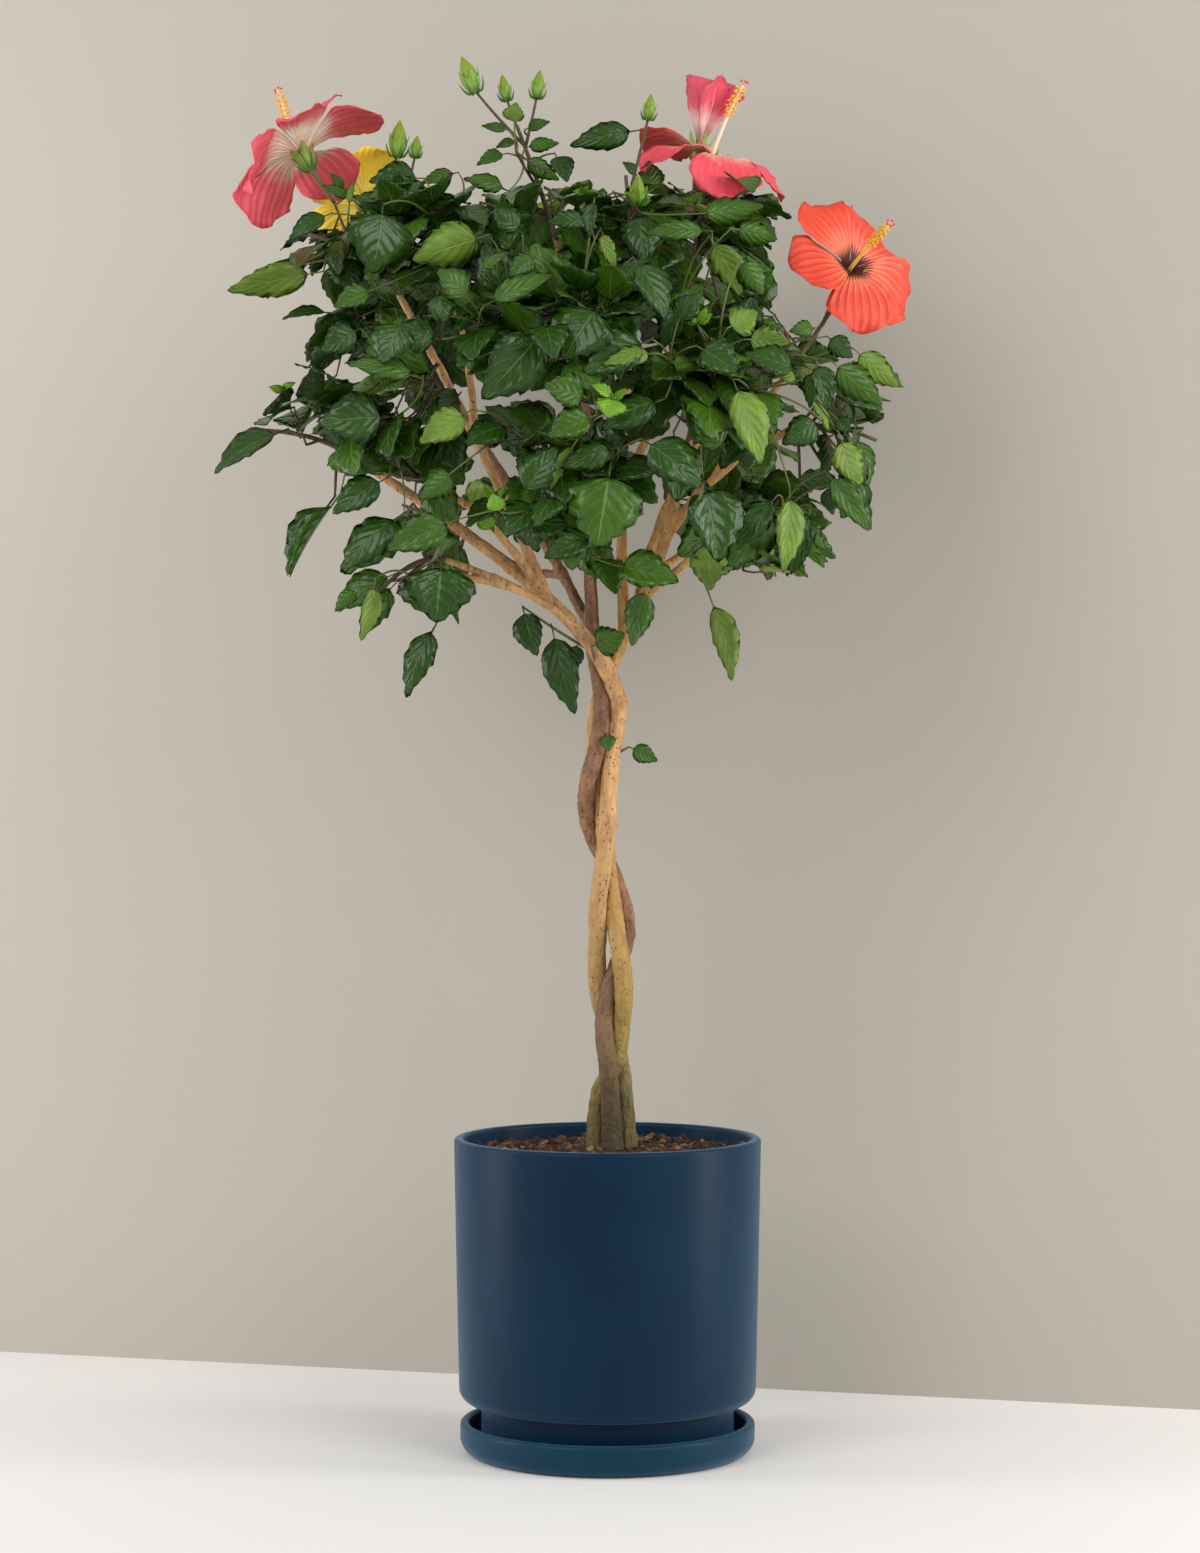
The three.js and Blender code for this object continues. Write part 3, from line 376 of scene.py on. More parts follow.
soil = turn_piece("soil_surface", [
    (foot_radius - pot_wall - MM, pot_floor + MM), (foot_radius - pot_wall - MM, body_bottom - MM),
    (body_radius - pot_wall - MM, body_bottom + 11 * MM), (soil_radius, soil_top - 3 * MM),
    *[(soil_radius * (1 - ring / soil_rings), soil_top - 2 * MM) for ring in range(1, soil_rings)],
], peat)
for corner in soil.data.vertices:
    if corner.co.z > soil_top - 2.5 * MM:
        out = corner.co.xy.length / soil_radius
        corner.co.z += crumble(corner.co) * (1 - out ** 6) + 2 * MM * (1 - out) ** 2
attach(soil, ROOT)
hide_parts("soil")

bpy.ops.object.select_all(action="DESELECT")
bpy.ops.mesh.primitive_ico_sphere_add(subdivisions=1, radius=0.5)
chip_model = bpy.context.object
AXES = [Vector((1, 0, 0)), Vector((0, 1, 0)), Vector((0, 0, 1))]
chip_draw = seeded(7)
chips, chip_kinds = [], []
for _ in range(chip_count):
    turn, out = 2 * math.pi * chip_draw(), (soil_radius - 4 * MM) * math.sqrt(chip_draw())
    size = (1.5 + 6.5 * chip_draw() ** 3) * MM
    spot = Vector((out * math.cos(turn), out * math.sin(turn), soil_top - 2 * MM))
    spot.z += crumble(spot) + 0.25 * size
    spin = Quaternion((chip_draw() - 0.5, chip_draw() - 0.5, chip_draw() - 0.5, 1)).normalized()
    lengths = (size * (1 + chip_draw()), size, size * 0.55)
    chips.append((spot, *[spin @ (axis * length) for axis, length in zip(AXES, lengths)]))
    chip_kinds.append(int(chip_draw() ** 2.3 * 4))
chip_piece = join_copies("soil_chips", chip_model, chips, [
    soil_finish("dark_crumbs", paint(34, 21, 13), paint(64, 41, 25)),
    soil_finish("bark_chips", paint(70, 38, 25), paint(108, 62, 40)),
    soil_finish("ochre_bits", paint(92, 62, 30), paint(124, 92, 48)),
    soil_finish("pale_crumbs", paint(104, 84, 60), paint(140, 116, 88)),
], chip_kinds)
bpy.data.objects.remove(chip_model)
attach(chip_piece, ROOT)


# Stems and boughs: three stems braided while young into one trunk, which forks at the crown
# into boughs. The bark is thin and smooth, tan to brown with small pale and dark pores, and
# green with algae where the trunk stays damp above the soil.

TAN_LIMBS = ["stem_tan", "bough_left", "bough_upper_left", "bough_left_front", "bough_left_high",
             "bough_left_low", "broken_stub"]
BROWN_LIMBS = ["stem_brown", "bough_centre", "bough_top", "bough_front_low", "bough_front_high",
               "bough_back_left", "bough_back", "bough_back_low", "bough_back_low_left"]
OLIVE_LIMBS = ["stem_olive", "bough_right", "bough_inner", "bough_top_right", "bough_long_right",
               "bough_right_crest", "bough_right_low", "bough_back_right", "bough_back_low_right"]
LIMBS = TAN_LIMBS + BROWN_LIMBS + OLIVE_LIMBS


def bark_pattern():
    """Streaks, patches and pores, with a green film that worn patches lack, darker towards the soil: damp
    there, and painted shade of the pot's rim.
    """
    group, given, results = pattern_group(
        "bark_grain", ("Light", "Dark", "Pore", "Film"), ("Film Top", "Film Bottom"))
    where = piece_coordinates(group)
    stretch = group.nodes.new("ShaderNodeMapping")
    stretch.inputs["Scale"].default_value = (1, 1, 0.3)
    group.links.new(where, stretch.inputs["Vector"])
    streaks = remap(group, cloud(group, stretch.outputs["Vector"], 210, 5), 0.36, 0.66)
    patches = remap(group, cloud(group, where, 38, 3), 0.42, 0.64)
    shade = math_node(group, "MULTIPLY_ADD", streaks, 0.5, math_node(group, "MULTIPLY", patches, 0.5))
    pores = group.nodes.new("ShaderNodeTexVoronoi")
    pores.inputs["Scale"].default_value = 190
    group.links.new(where, pores.inputs["Vector"])
    pore = remap(group, pores.outputs["Distance"], 0.12, 0.23, 1, 0)
    height = group.nodes.new("ShaderNodeSeparateXYZ")
    group.links.new(where, height.inputs["Vector"])
    drift = math_node(group, "MULTIPLY_ADD", cloud(group, where, 30, 4), -0.16, 0.08)
    level = math_node(group, "ADD", height.outputs["Z"], drift)
    film = group.nodes.new("ShaderNodeMapRange")
    for end, source in (("Value", level), ("From Min", given["Film Top"]),
                        ("From Max", given["Film Bottom"])):
        group.links.new(source, film.inputs[end])
    wood = blend_colours(group, shade, given["Light"], given["Dark"])
    pored = blend_colours(group, math_node(group, "MULTIPLY", pore, 0.75), wood, given["Pore"])
    worn = math_node(group, "MULTIPLY", remap(group, streaks, 0, 1, 0.95, 0.6),
                     remap(group, patches, 0, 1, 1, 0.6))
    damp = math_node(group, "MULTIPLY", film.outputs["Result"], worn)
    filmed = blend_colours(group, damp, pored, given["Film"])
    # Darker towards the soil: partly damp bark, partly painted shade where the pot's rim shades the trunk.
    damp_and_rim_shade = remap(group, level, 0.37, 0.29, 0, 0.6)
    group.links.new(blend_colours(group, damp_and_rim_shade, filmed, paint(44, 38, 16)), results["Color"])
    group.links.new(math_node(group, "MULTIPLY_ADD", pore, 0.5, streaks), results["Relief"])
    return group


bark_group = bark_pattern()


def bark_finish(name, light, dark, pore, film, film_top):
    return wear(name, bark_group, 0.72, 0.0009, **{
        "Light": light, "Dark": dark, "Pore": pore, "Film": film, "Film Top": film_top,
        "Film Bottom": 0.3})[0]


def apply_modifier(piece, kind, **settings):
    modifier = piece.modifiers.new(kind.lower(), kind)
    for setting, value in settings.items():
        setattr(modifier, setting, value)
    bpy.ops.object.modifier_apply(modifier=modifier.name)


def grow_wood(name, members, finish):
    """One family of limbs, fused where they join, rounded, and given the bark's relief."""
    bpy.ops.object.select_all(action="DESELECT")
    for member in members:
        limb = bpy.data.objects.new(name, nodes[member].data.copy())
        bpy.context.scene.collection.objects.link(limb)
        limb.data.materials.clear()
        limb.select_set(True)
        bpy.context.view_layer.objects.active = limb
    bpy.ops.object.join()
    wood = bpy.context.object
    wood.name = name
    bpy.ops.object.mode_set(mode="EDIT")
    bpy.ops.mesh.select_all(action="SELECT")
    bpy.ops.mesh.remove_doubles(threshold=0.00001)
    bpy.ops.object.mode_set(mode="OBJECT")
    apply_modifier(wood, "DISPLACE", strength=1.2 * MM, mid_level=0)
    apply_modifier(wood, "REMESH", mode="VOXEL", voxel_size=1.25 * MM)
    apply_modifier(wood, "SMOOTH", factor=0.5, iterations=14)
    outward = [corner.normal.copy() for corner in wood.data.vertices]
    for corner, normal in zip(wood.data.vertices, outward):
        spot = corner.co
        lengthwise = Vector((spot.x, spot.y, spot.z * 0.35))
        swell = 0.8 * noise.noise(lengthwise * 95) + 0.5 * noise.noise(spot * 240)
        corner.co = spot + normal * ((swell + 0.1) * MM)
    bpy.ops.object.shade_smooth()
    wood.data.materials.append(finish)
    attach(wood, ROOT)
    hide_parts(*members)
    return wood


# Each bark's limbs, light and dark streaks, green film, and how high that film climbs in metres
BARKS = {
    "tan": (TAN_LIMBS, (212, 164, 110), (166, 120, 76), (98, 96, 28), 0.60),
    "brown": (BROWN_LIMBS, (146, 104, 72), (96, 66, 48), (70, 62, 24), 0.46),
    "olive": (OLIVE_LIMBS, (202, 156, 92), (156, 114, 62), (106, 104, 28), 0.62),
}
pore_brown = paint(76, 52, 38)
for name, (members, light, dark, film, film_top) in BARKS.items():
    finish = bark_finish(f"{name}_bark_skin", paint(*light), paint(*dark), pore_brown, paint(*film), film_top)
    grow_wood(f"wood_{name}", members, finish)


# Shoots and leaves: each bough ends in a spray of green-brown shoots. The leaves are broad and
# pointed with a toothed edge, glossy and deep green above, paler and matt beneath, each on a
# short stalk. Shoots and leaves grow by one seeded rule, out of the crown's heart.

CROWN_HEART = Vector((-20, 0, 860)) * MM
GOLDEN_ANGLE = math.pi * (3 - math.sqrt(5))
DEEP, GREEN, FRESH, YOUNG = range(4)

# How a mass's own stem runs, and where its shoots leave it, as shares of its length
STEM_HEAD = 0.4
STEM_BEND = 0.4
SHOOT_LAG = 0.35
SHOOTS_LEAVE = (0.12, 0.85)

# The shoots of a mass: their number, their least reach and what chance adds, as shares of its
# radius, how much shorter one is tried that finds no room, and how far one may turn inward
SHOOTS = 6
SHOOT_REACH = (0.5, 0.2)
SHOOT_TRIES = (1, 0.75, 0.5)
MOST_INWARD = -0.5

# The finer twigs on each shoot: their number, their reach, and how they lean out
FINE_TWIGS = 8
FINE_REACH = (0.3, 0.25)
FINE_LEAN = (0.1, 0.7)

# How far growth may swell past a mass's ball, and how clear twigs keep of its walls and of limbs
BALL_SHARE, FINE_BALL_SHARE = 1.04, 1.4
TWIG_WALL, FINE_WALL = 3.2 * MM, 6 * MM
TWIG_CLEARANCE, FINE_CLEARANCE = 5 * MM, 3 * MM

# Leaves on a shoot and on a fine twig: their places, how often each is tried, their least and
# greatest length in millimetres, how clear they keep of limbs, and how they droop
SHOOT_LEAVES = dict(places=(0.35, 0.55, 0.72, 0.88, 1), trials=2, sizes=(54, 74), clearance=4 * MM,
                    droop=0.35)
FINE_LEAVES = dict(places=(0.4, 0.7, 1), trials=5, sizes=(46, 70), clearance=2 * MM, droop=0.75)

# A grown leaf's breadth as a share of its length, how far it keeps inside its mass's walls, and
# how far it may stand past the reach of the plant's solids
LEAF_BREADTH_SHARE = 0.62
LEAF_WALL = 0.6 * MM
PAST_REACH = 4 * MM

# Each mass of foliage: its region, its bough's last bend and tip, its own space as a centre and
# a radius, the leaves that mark the crown's furthest tips, and its large buds, in millimetres
MASSES = {
    "leaves_left_tip": dict(
        region="left", bend=(-59, -20, 769), tip=(-230, -10, 878), centre=(-279, 0, 894), radius=78,
        outer=[((-281, -10, 897), (-346, -10, 858), 34), ((-238, -25, 837), (-279, -35, 767), 26),
               ((-278, 0, 929), (-292, 0, 944), 14)]),
    "leaves_left_crest": dict(
        region="left", bend=(-113, -35, 894), tip=(-185, -25, 1019), centre=(-234, -20, 1043),
        radius=92,
        outer=[((-250, -10, 1041), (-334, 0, 1020), 38), ((-241, -20, 998), (-285, -30, 991), 18),
               ((-246, 20, 1082), (-295, 30, 1061), 34)],
        buds=[(-184, -20, 1137), (-168, -22, 1136)], bud_sizes=[(32, 7.3), (19, 4.6)]),
    "leaves_left_front": dict(
        region="left", bend=(-93, -60, 814), tip=(-140, -85, 838), centre=(-172, -110, 899), radius=88),
    "leaves_left_low": dict(
        region="left", bend=(-59, -40, 755), tip=(-140, -60, 780), centre=(-180, -50, 756), radius=88,
        outer=[((-168, -80, 816), (-226, -95, 765), 44), ((-182, -40, 770), (-237, -40, 736), 30),
               ((-181, -60, 761), (-214, -60, 711), 26), ((-146, -110, 776), (-144, -118, 724), 56),
               ((-157, -70, 728), (-174, -75, 657), 36)]),
    "leaves_upper_left": dict(
        region="top", bend=(-118, -50, 950), tip=(-127, -68, 985), centre=(-133, -80, 1048), radius=92,
        outer=[((-183, -95, 1085), (-188, -110, 1024), 50)]),
    "leaves_top": dict(
        region="top", bend=(-10, 20, 944), tip=(-45, 0, 1065), centre=(-73, 0, 1131), radius=88,
        buds=[(-117, 0, 1197), (-89, 0, 1190), (-62, 0, 1192)],
        bud_sizes=[(34, 7.6), (23, 5.2), (25, 5.6)]),
    "leaves_front_high": dict(
        region="front", bend=(-7, -80, 856), tip=(-28, -130, 910), centre=(-38, -180, 966), radius=98,
        outer=[((-7, -230, 980), (-23, -250, 919), 60)]),
    "leaves_front_low": dict(
        region="front", bend=(-18, -60, 797), tip=(-28, -110, 823), centre=(-36, -165, 848), radius=88,
        outer=[((-15, -225, 845), (-8, -240, 776), 58)]),
    "leaves_top_middle": dict(
        region="top", bend=(8, 20, 830), tip=(20, -20, 1000), centre=(11, -50, 1079), radius=85,
        outer=[((27, -45, 1152), (-36, -45, 1138), 34)], buds=[(35, -68, 1160), (25, -100, 1083)],
        bud_sizes=[(22, 5.2), (26, 6.2)]),
    "leaves_front_right": dict(
        region="front", bend=(51, -5, 774), tip=(69, -90, 880), centre=(69, -150, 920), radius=98),
    "leaves_top_right": dict(
        region="top", bend=(65, 30, 950), tip=(73, 20, 1033), centre=(87, 40, 1094), radius=85,
        outer=[((113, 20, 1093), (151, 15, 1067), 34), ((81, -20, 1093), (136, -20, 1111), 34)]),
    "leaves_right_crest": dict(
        region="right", bend=(130, 0, 911), tip=(160, -10, 950), centre=(168, -20, 983), radius=85),
    "leaves_right_tip": dict(
        region="right", bend=(60, 0, 854), tip=(161, 10, 899), centre=(204, 10, 886), radius=85,
        outer=[((218, 20, 960), (263, 20, 937), 34), ((191, -30, 930), (241, -30, 912), 34),
               ((208, -10, 893), (229, -15, 846), 32), ((196, 10, 860), (234, 15, 810), 34),
               ((168, -30, 843), (156, -35, 767), 32)]),
    "leaves_right_low": dict(
        region="right", bend=(72, -40, 781), tip=(93, -60, 801), centre=(109, -70, 779), radius=92,
        outer=[((89, -60, 751), (107, -55, 674), 26), ((70, -110, 795), (88, -120, 749), 34),
               ((77, -140, 835), (92, -155, 766), 50)]),
    "leaves_back_left": dict(
        region="back", bend=(-61, 90, 825), tip=(-144, 130, 939), centre=(-191, 150, 1015), radius=110),
    "leaves_back": dict(
        region="back", bend=(-24, 100, 880), tip=(-34, 160, 962), centre=(-44, 190, 1050), radius=110),
    "leaves_back_right": dict(
        region="back", bend=(39, 90, 825), tip=(99, 140, 931), centre=(105, 160, 1007), radius=110),
    "leaves_back_low": dict(
        region="back", bend=(-40, 100, 850), tip=(-52, 135, 862), centre=(-63, 180, 879), radius=95),
    "leaves_back_low_right": dict(
        region="back", bend=(57, 80, 775), tip=(89, 115, 819), centre=(112, 120, 848), radius=90),
    "leaves_back_low_left": dict(
        region="back", bend=(-80, 80, 775), tip=(-125, 110, 809), centre=(-162, 120, 846), radius=88),
}

# Each bloom: the mass that carries it, its stalk's foot, its throat, the way it faces, and its
# petals' length, lean from first to last, breadth and single droops, in millimetres and degrees
BLOOMS = {
    "bloom_left": dict(mass="leaves_left_crest", foot=(-239, -15, 1095), throat=(-266, -20, 1136),
                       face=(-0.42, 0.4, 0.8), petal=78, lean=(45, 92),
                       fullness=0.7, droops=(0, 6, 14, 26, 10)),
    "bloom_yellow": dict(mass="leaves_left_crest", foot=(-205, 35, 1088), throat=(-216, 62, 1104),
                         face=(-0.1, 0.85, 0.5), petal=56, lean=(40, 80), fullness=0.74),
    "bloom_top_right": dict(mass="leaves_top_right", foot=(84, 15, 1098), throat=(92, 20, 1140),
                            face=(0.3, -0.08, 0.95), petal=74, lean=(60, 94),
                            fullness=0.8, droops=(10, -4, 2, 24, 28)),
    "bloom_faded": dict(mass="leaves_top_right", foot=(78, 86, 1112), throat=(84, 97, 1168),
                        face=(0.2, 0.1, 0.97), petal=65, lean=(8, 20), closed=True,
                        fullness=0.73),
    "bloom_orange": dict(mass="leaves_right_crest", foot=(189, 0, 990), throat=(213, 0, 1039),
                         face=(0.35, -0.82, 0.45), petal=70, lean=(45, 84),
                         fullness=0.84, droops=(28, 20, -4, -6, 4)),
}

# The leaves that stand out in front: root, tip, breadth, shade, and 1 where the underside shows
SHOWING_LEAVES = [
    ((-158, -70, 1107), (-206, -75, 1103), 24, DEEP, 0), ((-129, -60, 1114), (-162, -65, 1103), 12, GREEN, 0),
    ((-222, -40, 1094), (-248, -45, 1106), 10, GREEN, 0), ((-228, -40, 1102), (-241, -45, 1117), 8, GREEN, 0),
    ((-224, -45, 1088), (-219, -50, 1109), 8, FRESH, 0), ((-180, -80, 1077), (-219, -85, 1089), 20, DEEP, 0),
    ((87, -60, 751), (107, -66, 674), 24, FRESH, 1), ((-98, -70, 803), (-112, -76, 826), 15, YOUNG, 0),
    ((28, -42, 1154), (-34, -48, 1139), 22, DEEP, 0), ((-86, -30, 1156), (-111, -36, 1159), 8, GREEN, 0),
    ((-72, -18, 1159), (-49, -24, 1165), 10, GREEN, 0), ((-81, -36, 1160), (-79, -42, 1179), 19, FRESH, 0),
    ((-72, -24, 1142), (-41, -30, 1145), 12, GREEN, 0), ((-79, -42, 1145), (-98, -48, 1137), 8, DEEP, 0),
    ((-88, -30, 1136), (-115, -36, 1124), 12, GREEN, 0), ((-46, -18, 1138), (-35, -24, 1111), 20, DEEP, 0),
    ((-74, -36, 1132), (-41, -30, 1112), 15, GREEN, 1), ((-55, -24, 1101), (-34, -30, 1099), 7, DEEP, 0),
    ((-86, -42, 1101), (-126, -48, 1111), 17, GREEN, 0), ((-70, -210, 1038), (-95, -216, 1058), 20, DEEP, 0),
    ((-98, -199, 1038), (-162, -193, 1018), 34, FRESH, 1),
    ((-58, -232, 1016), (-81, -238, 998), 17, GREEN, 0),
    ((-105, -217, 1005), (-79, -223, 1021), 10, GREEN, 0),
    ((-100, -243, 974), (-43, -249, 999), 17, GREEN, 0),
    ((-51, -241, 956), (-103, -247, 897), 42, DEEP, 0), ((-6, -247, 974), (-36, -253, 928), 49, DEEP, 0),
    ((35, -249, 946), (-22, -255, 917), 32, DEEP, 0), ((39, -253, 934), (-6, -259, 924), 18, FRESH, 0),
    ((20, -256, 1011), (47, -262, 959), 30, DEEP, 0), ((56, -231, 961), (72, -237, 985), 22, DEEP, 0),
    ((83, -203, 1036), (110, -197, 987), 25, FRESH, 1), ((110, -213, 1018), (127, -207, 987), 22, GREEN, 1),
    ((85, -207, 1040), (29, -213, 1037), 15, GREEN, 0), ((71, -200, 1055), (129, -194, 1063), 22, GREEN, 1),
    ((102, -192, 1045), (141, -186, 1036), 20, GREEN, 1), ((40, -18, 1106), (36, -12, 1134), 22, GREEN, 1),
    ((26, -36, 1115), (12, -42, 1127), 10, DEEP, 0), ((61, -24, 1100), (20, -30, 1080), 13, YOUNG, 0),
    ((-11, -239, 1062), (-15, -245, 1027), 12, DEEP, 0), ((-6, -225, 1039), (7, -219, 1006), 12, FRESH, 1),
    ((-16, -205, 1049), (-50, -211, 1047), 15, DEEP, 0), ((97, -225, 958), (123, -219, 973), 24, FRESH, 1),
    ((111, -210, 951), (150, -204, 949), 22, FRESH, 1), ((71, -254, 940), (105, -260, 917), 29, DEEP, 0),
    ((101, -236, 915), (124, -242, 844), 29, FRESH, 0), ((171, -190, 963), (148, -196, 959), 13, GREEN, 0),
    ((181, -188, 956), (202, -194, 937), 17, DEEP, 0), ((205, -156, 950), (243, -150, 918), 22, FRESH, 1),
    ((184, -184, 937), (228, -178, 900), 25, GREEN, 1), ((171, -194, 937), (181, -200, 892), 18, DEEP, 0),
    ((166, -190, 930), (167, -184, 896), 13, GREEN, 1), ((156, -220, 922), (109, -226, 937), 27, DEEP, 0),
    ((155, -220, 916), (133, -226, 922), 13, FRESH, 0), ((175, -211, 884), (141, -217, 864), 24, DEEP, 0),
    ((188, -180, 890), (202, -186, 877), 12, DEEP, 0), ((193, -160, 878), (212, -154, 835), 27, FRESH, 1),
    ((180, -178, 846), (216, -184, 795), 20, GREEN, 0), ((182, -165, 835), (187, -171, 809), 13, DEEP, 0),
    ((149, -205, 830), (143, -211, 758), 22, FRESH, 0), ((169, -170, 818), (151, -176, 759), 17, DEEP, 0),
    ((139, -200, 824), (105, -206, 778), 24, DEEP, 0), ((145, -136, 817), (99, -130, 769), 34, GREEN, 1),
    ((77, -220, 837), (90, -226, 766), 44, DEEP, 0), ((80, -144, 793), (86, -138, 748), 29, FRESH, 1),
    ((95, -231, 857), (68, -237, 887), 27, GREEN, 0), ((2, -233, 846), (-9, -239, 776), 55, GREEN, 0),
    ((-69, -241, 819), (-41, -247, 861), 27, DEEP, 0), ((-70, -218, 802), (-29, -224, 794), 27, DEEP, 0),
    ((-10, -226, 789), (-53, -232, 770), 22, DEEP, 0), ((-25, -239, 866), (-48, -233, 824), 11, FRESH, 1),
    ((8, -230, 861), (-40, -236, 843), 22, DEEP, 0), ((-9, -258, 884), (-50, -264, 865), 24, GREEN, 0),
    ((46, -238, 899), (-7, -244, 873), 29, DEEP, 0), ((-15, -258, 897), (-53, -264, 908), 25, GREEN, 0),
    ((27, -247, 866), (76, -253, 825), 34, DEEP, 0), ((3, -205, 767), (59, -211, 752), 29, GREEN, 0),
    ((32, -122, 756), (20, -116, 702), 22, GREEN, 1), ((4, -254, 899), (-1, -260, 880), 23, YOUNG, 0),
    ((4, -258, 898), (-15, -264, 908), 10, YOUNG, 0), ((-87, -238, 807), (-94, -244, 823), 15, YOUNG, 0),
    ((-234, -119, 1069), (-270, -125, 1045), 17, DEEP, 0),
    ((-185, -198, 1063), (-194, -204, 1004), 50, DEEP, 0),
    ((-139, -231, 987), (-131, -237, 960), 20, DEEP, 0), ((-166, -222, 965), (-184, -228, 928), 34, DEEP, 0),
    ((-193, -187, 995), (-227, -193, 979), 18, GREEN, 0), ((-205, -178, 964), (-237, -184, 944), 25, DEEP, 0),
    ((-151, -215, 918), (-214, -221, 930), 20, GREEN, 0), ((-179, -191, 889), (-238, -197, 884), 39, DEEP, 0),
    ((-111, -237, 890), (-154, -243, 862), 24, FRESH, 0), ((-182, -184, 840), (-228, -190, 809), 25, DEEP, 0),
    ((-226, -127, 830), (-268, -133, 760), 12, GREEN, 0), ((-169, -175, 811), (-222, -181, 761), 32, DEEP, 0),
    ((-123, -204, 804), (-183, -210, 778), 27, GREEN, 0), ((-137, -196, 772), (-141, -202, 718), 52, DEEP, 0),
    ((-145, -95, 725), (-172, -101, 659), 24, DEEP, 0), ((-197, -110, 761), (-210, -104, 707), 17, FRESH, 1),
    ((-211, -116, 751), (-232, -110, 732), 13, GREEN, 1), ((-137, -214, 950), (-176, -220, 957), 29, DEEP, 0),
    ((-112, -230, 980), (-139, -236, 1005), 25, GREEN, 0), ((-40, -182, 846), (-15, -188, 887), 25, DEEP, 0),
    ((68, -165, 989), (43, -171, 947), 25, DEEP, 0), ((-125, -221, 843), (-154, -215, 819), 22, GREEN, 1),
    ((127, -156, 890), (93, -162, 848), 29, DEEP, 0), ((-248, -30, 1033), (-332, -36, 1015), 26, FRESH, 1),
]

# Growing tips, each a tuft of small young leaves
YOUNG_TIPS = [(-285, -10, 930), (-194, -110, 871), (-92, -150, 822), (73, -215, 962),
              (3, -240, 896), (-19, -70, 1092), (26, -90, 1081), (-185, -60, 978)]
TUFT = 6

# Gaps where the wall or bare limbs show between the sprays, seen from the front, as ranges of
# x and z: round the crown, then through it on the left and on the right
OPEN_SKY = [(-150, 30, 1105, 1240), (137, 262, 984, 1062), (-350, -237, 640, 836),
            (-260, -120, 640, 728), (30, 240, 640, 768), (196, 260, 740, 822), (222, 300, 640, 905),
            (240, 300, 900, 1000), (-335, -238, 1070, 1140), (-350, -268, 925, 1012),
            (-350, -300, 850, 930), (-247, -200, 640, 745),
            (-130, -42, 704, 796), (-130, -95, 796, 814), (-42, -7, 660, 780), (-235, -165, 818, 856),
            (-212, -152, 740, 800), (-130, -77, 849, 886), (-250, -203, 935, 958), (-200, -165, 902, 921),
            (-320, -237, 836, 893), (-288, -240, 985, 1025),
            (134, 226, 962, 1012), (134, 169, 924, 942), (152, 187, 889, 906), (64, 99, 867, 884),
            (134, 187, 854, 871), (152, 205, 836, 849), (-7, 64, 783, 836)]

# Where a bloom is seen whole, no leaf of any kind hangs before it
BLOOM_WINDOWS = [(-350, -284, 1032, 1145), (-284, -225, 1085, 1145), (-240, -206, 1100, 1142),
                 (25, 160, 1116, 1240), (145, 262, 980, 1062)]


def millimetres(spot):
    return Vector(spot) * MM


for bloom in BLOOMS.values():
    bloom["foot"] = millimetres(bloom["foot"])
    bloom["throat"] = millimetres(bloom["throat"])
    bloom["face"] = Vector(bloom["face"]).normalized()
    bloom["petal"] *= MM
for seed, mass in enumerate(MASSES.values(), 1):
    mass["seed"] = seed
    mass["centre"] = millimetres(mass["centre"])
    mass["radius"] *= MM
    mass["heading"] = (millimetres(mass["tip"]) - millimetres(mass["bend"])).normalized()
    mass["foot"] = millimetres(mass["tip"]) + 0.3 * MM * mass["heading"]
    mass["buds"] = [millimetres(spot) for spot in mass.get("buds", [])]
centres = np.array([mass["centre"] for mass in MASSES.values()])
radii = np.array([mass["radius"] for mass in MASSES.values()])


def limb_surfaces():
    corners, faces = [], []
    for member in LIMBS:
        mesh = nodes[member].data
        faces += [[len(corners) + index for index in face.vertices] for face in mesh.polygons]
        corners += [corner.co.copy() for corner in mesh.vertices]
    return BVHTree.FromPolygons(corners, faces)


bark_surface = limb_surfaces()


def room_inside(mass, spots):
    """How far spots lie inside a mass's own space: its ball, cut by the walls to its neighbours."""
    squares = ((spots[:, None] - centres[None]) ** 2).sum(-1) - radii ** 2
    own = mass["seed"] - 1
    apart = np.linalg.norm(centres - centres[own], axis=1)
    apart[own] = 1
    walls = (squares - squares[:, own:own + 1]) / (2 * apart)
    walls[:, own] = mass["radius"] * mass["spread"] - np.linalg.norm(spots - centres[own], axis=1)
    return walls.min(axis=1)


def inside_bloom(spot):
    for bloom in BLOOMS.values():
        offset = spot - bloom["throat"]
        ahead = offset.dot(bloom["face"])
        aside = (offset - ahead * bloom["face"]).length
        cup = bloom["petal"] * (0.4 if bloom.get("closed") else 1)
        if -14 * MM < ahead < cup and aside < cup:
            return True
        if 0 < ahead < bloom["petal"] * 1.1 and aside < 10 * MM:
            return True
    return False


LEAF_SPOTS = [(0.1, 0), (0.25, 0), (0.42, 0), (0.6, 0), (0.8, 0), (1, 0), (0.25, 0.4), (0.25, -0.4),
              (0.42, 0.5), (0.42, -0.5), (0.42, 1), (0.42, -1), (0.7, 0.4), (0.7, -0.4)]


def has_room(mass, spots, wall, clearance):
    """Whether spots keep inside their mass, and clear of limbs and blooms."""
    if room_inside(mass, np.array(spots)).min() < wall:
        return False
    return not any(bark_surface.find_nearest(spot)[3] < clearance or inside_bloom(spot) for spot in spots)


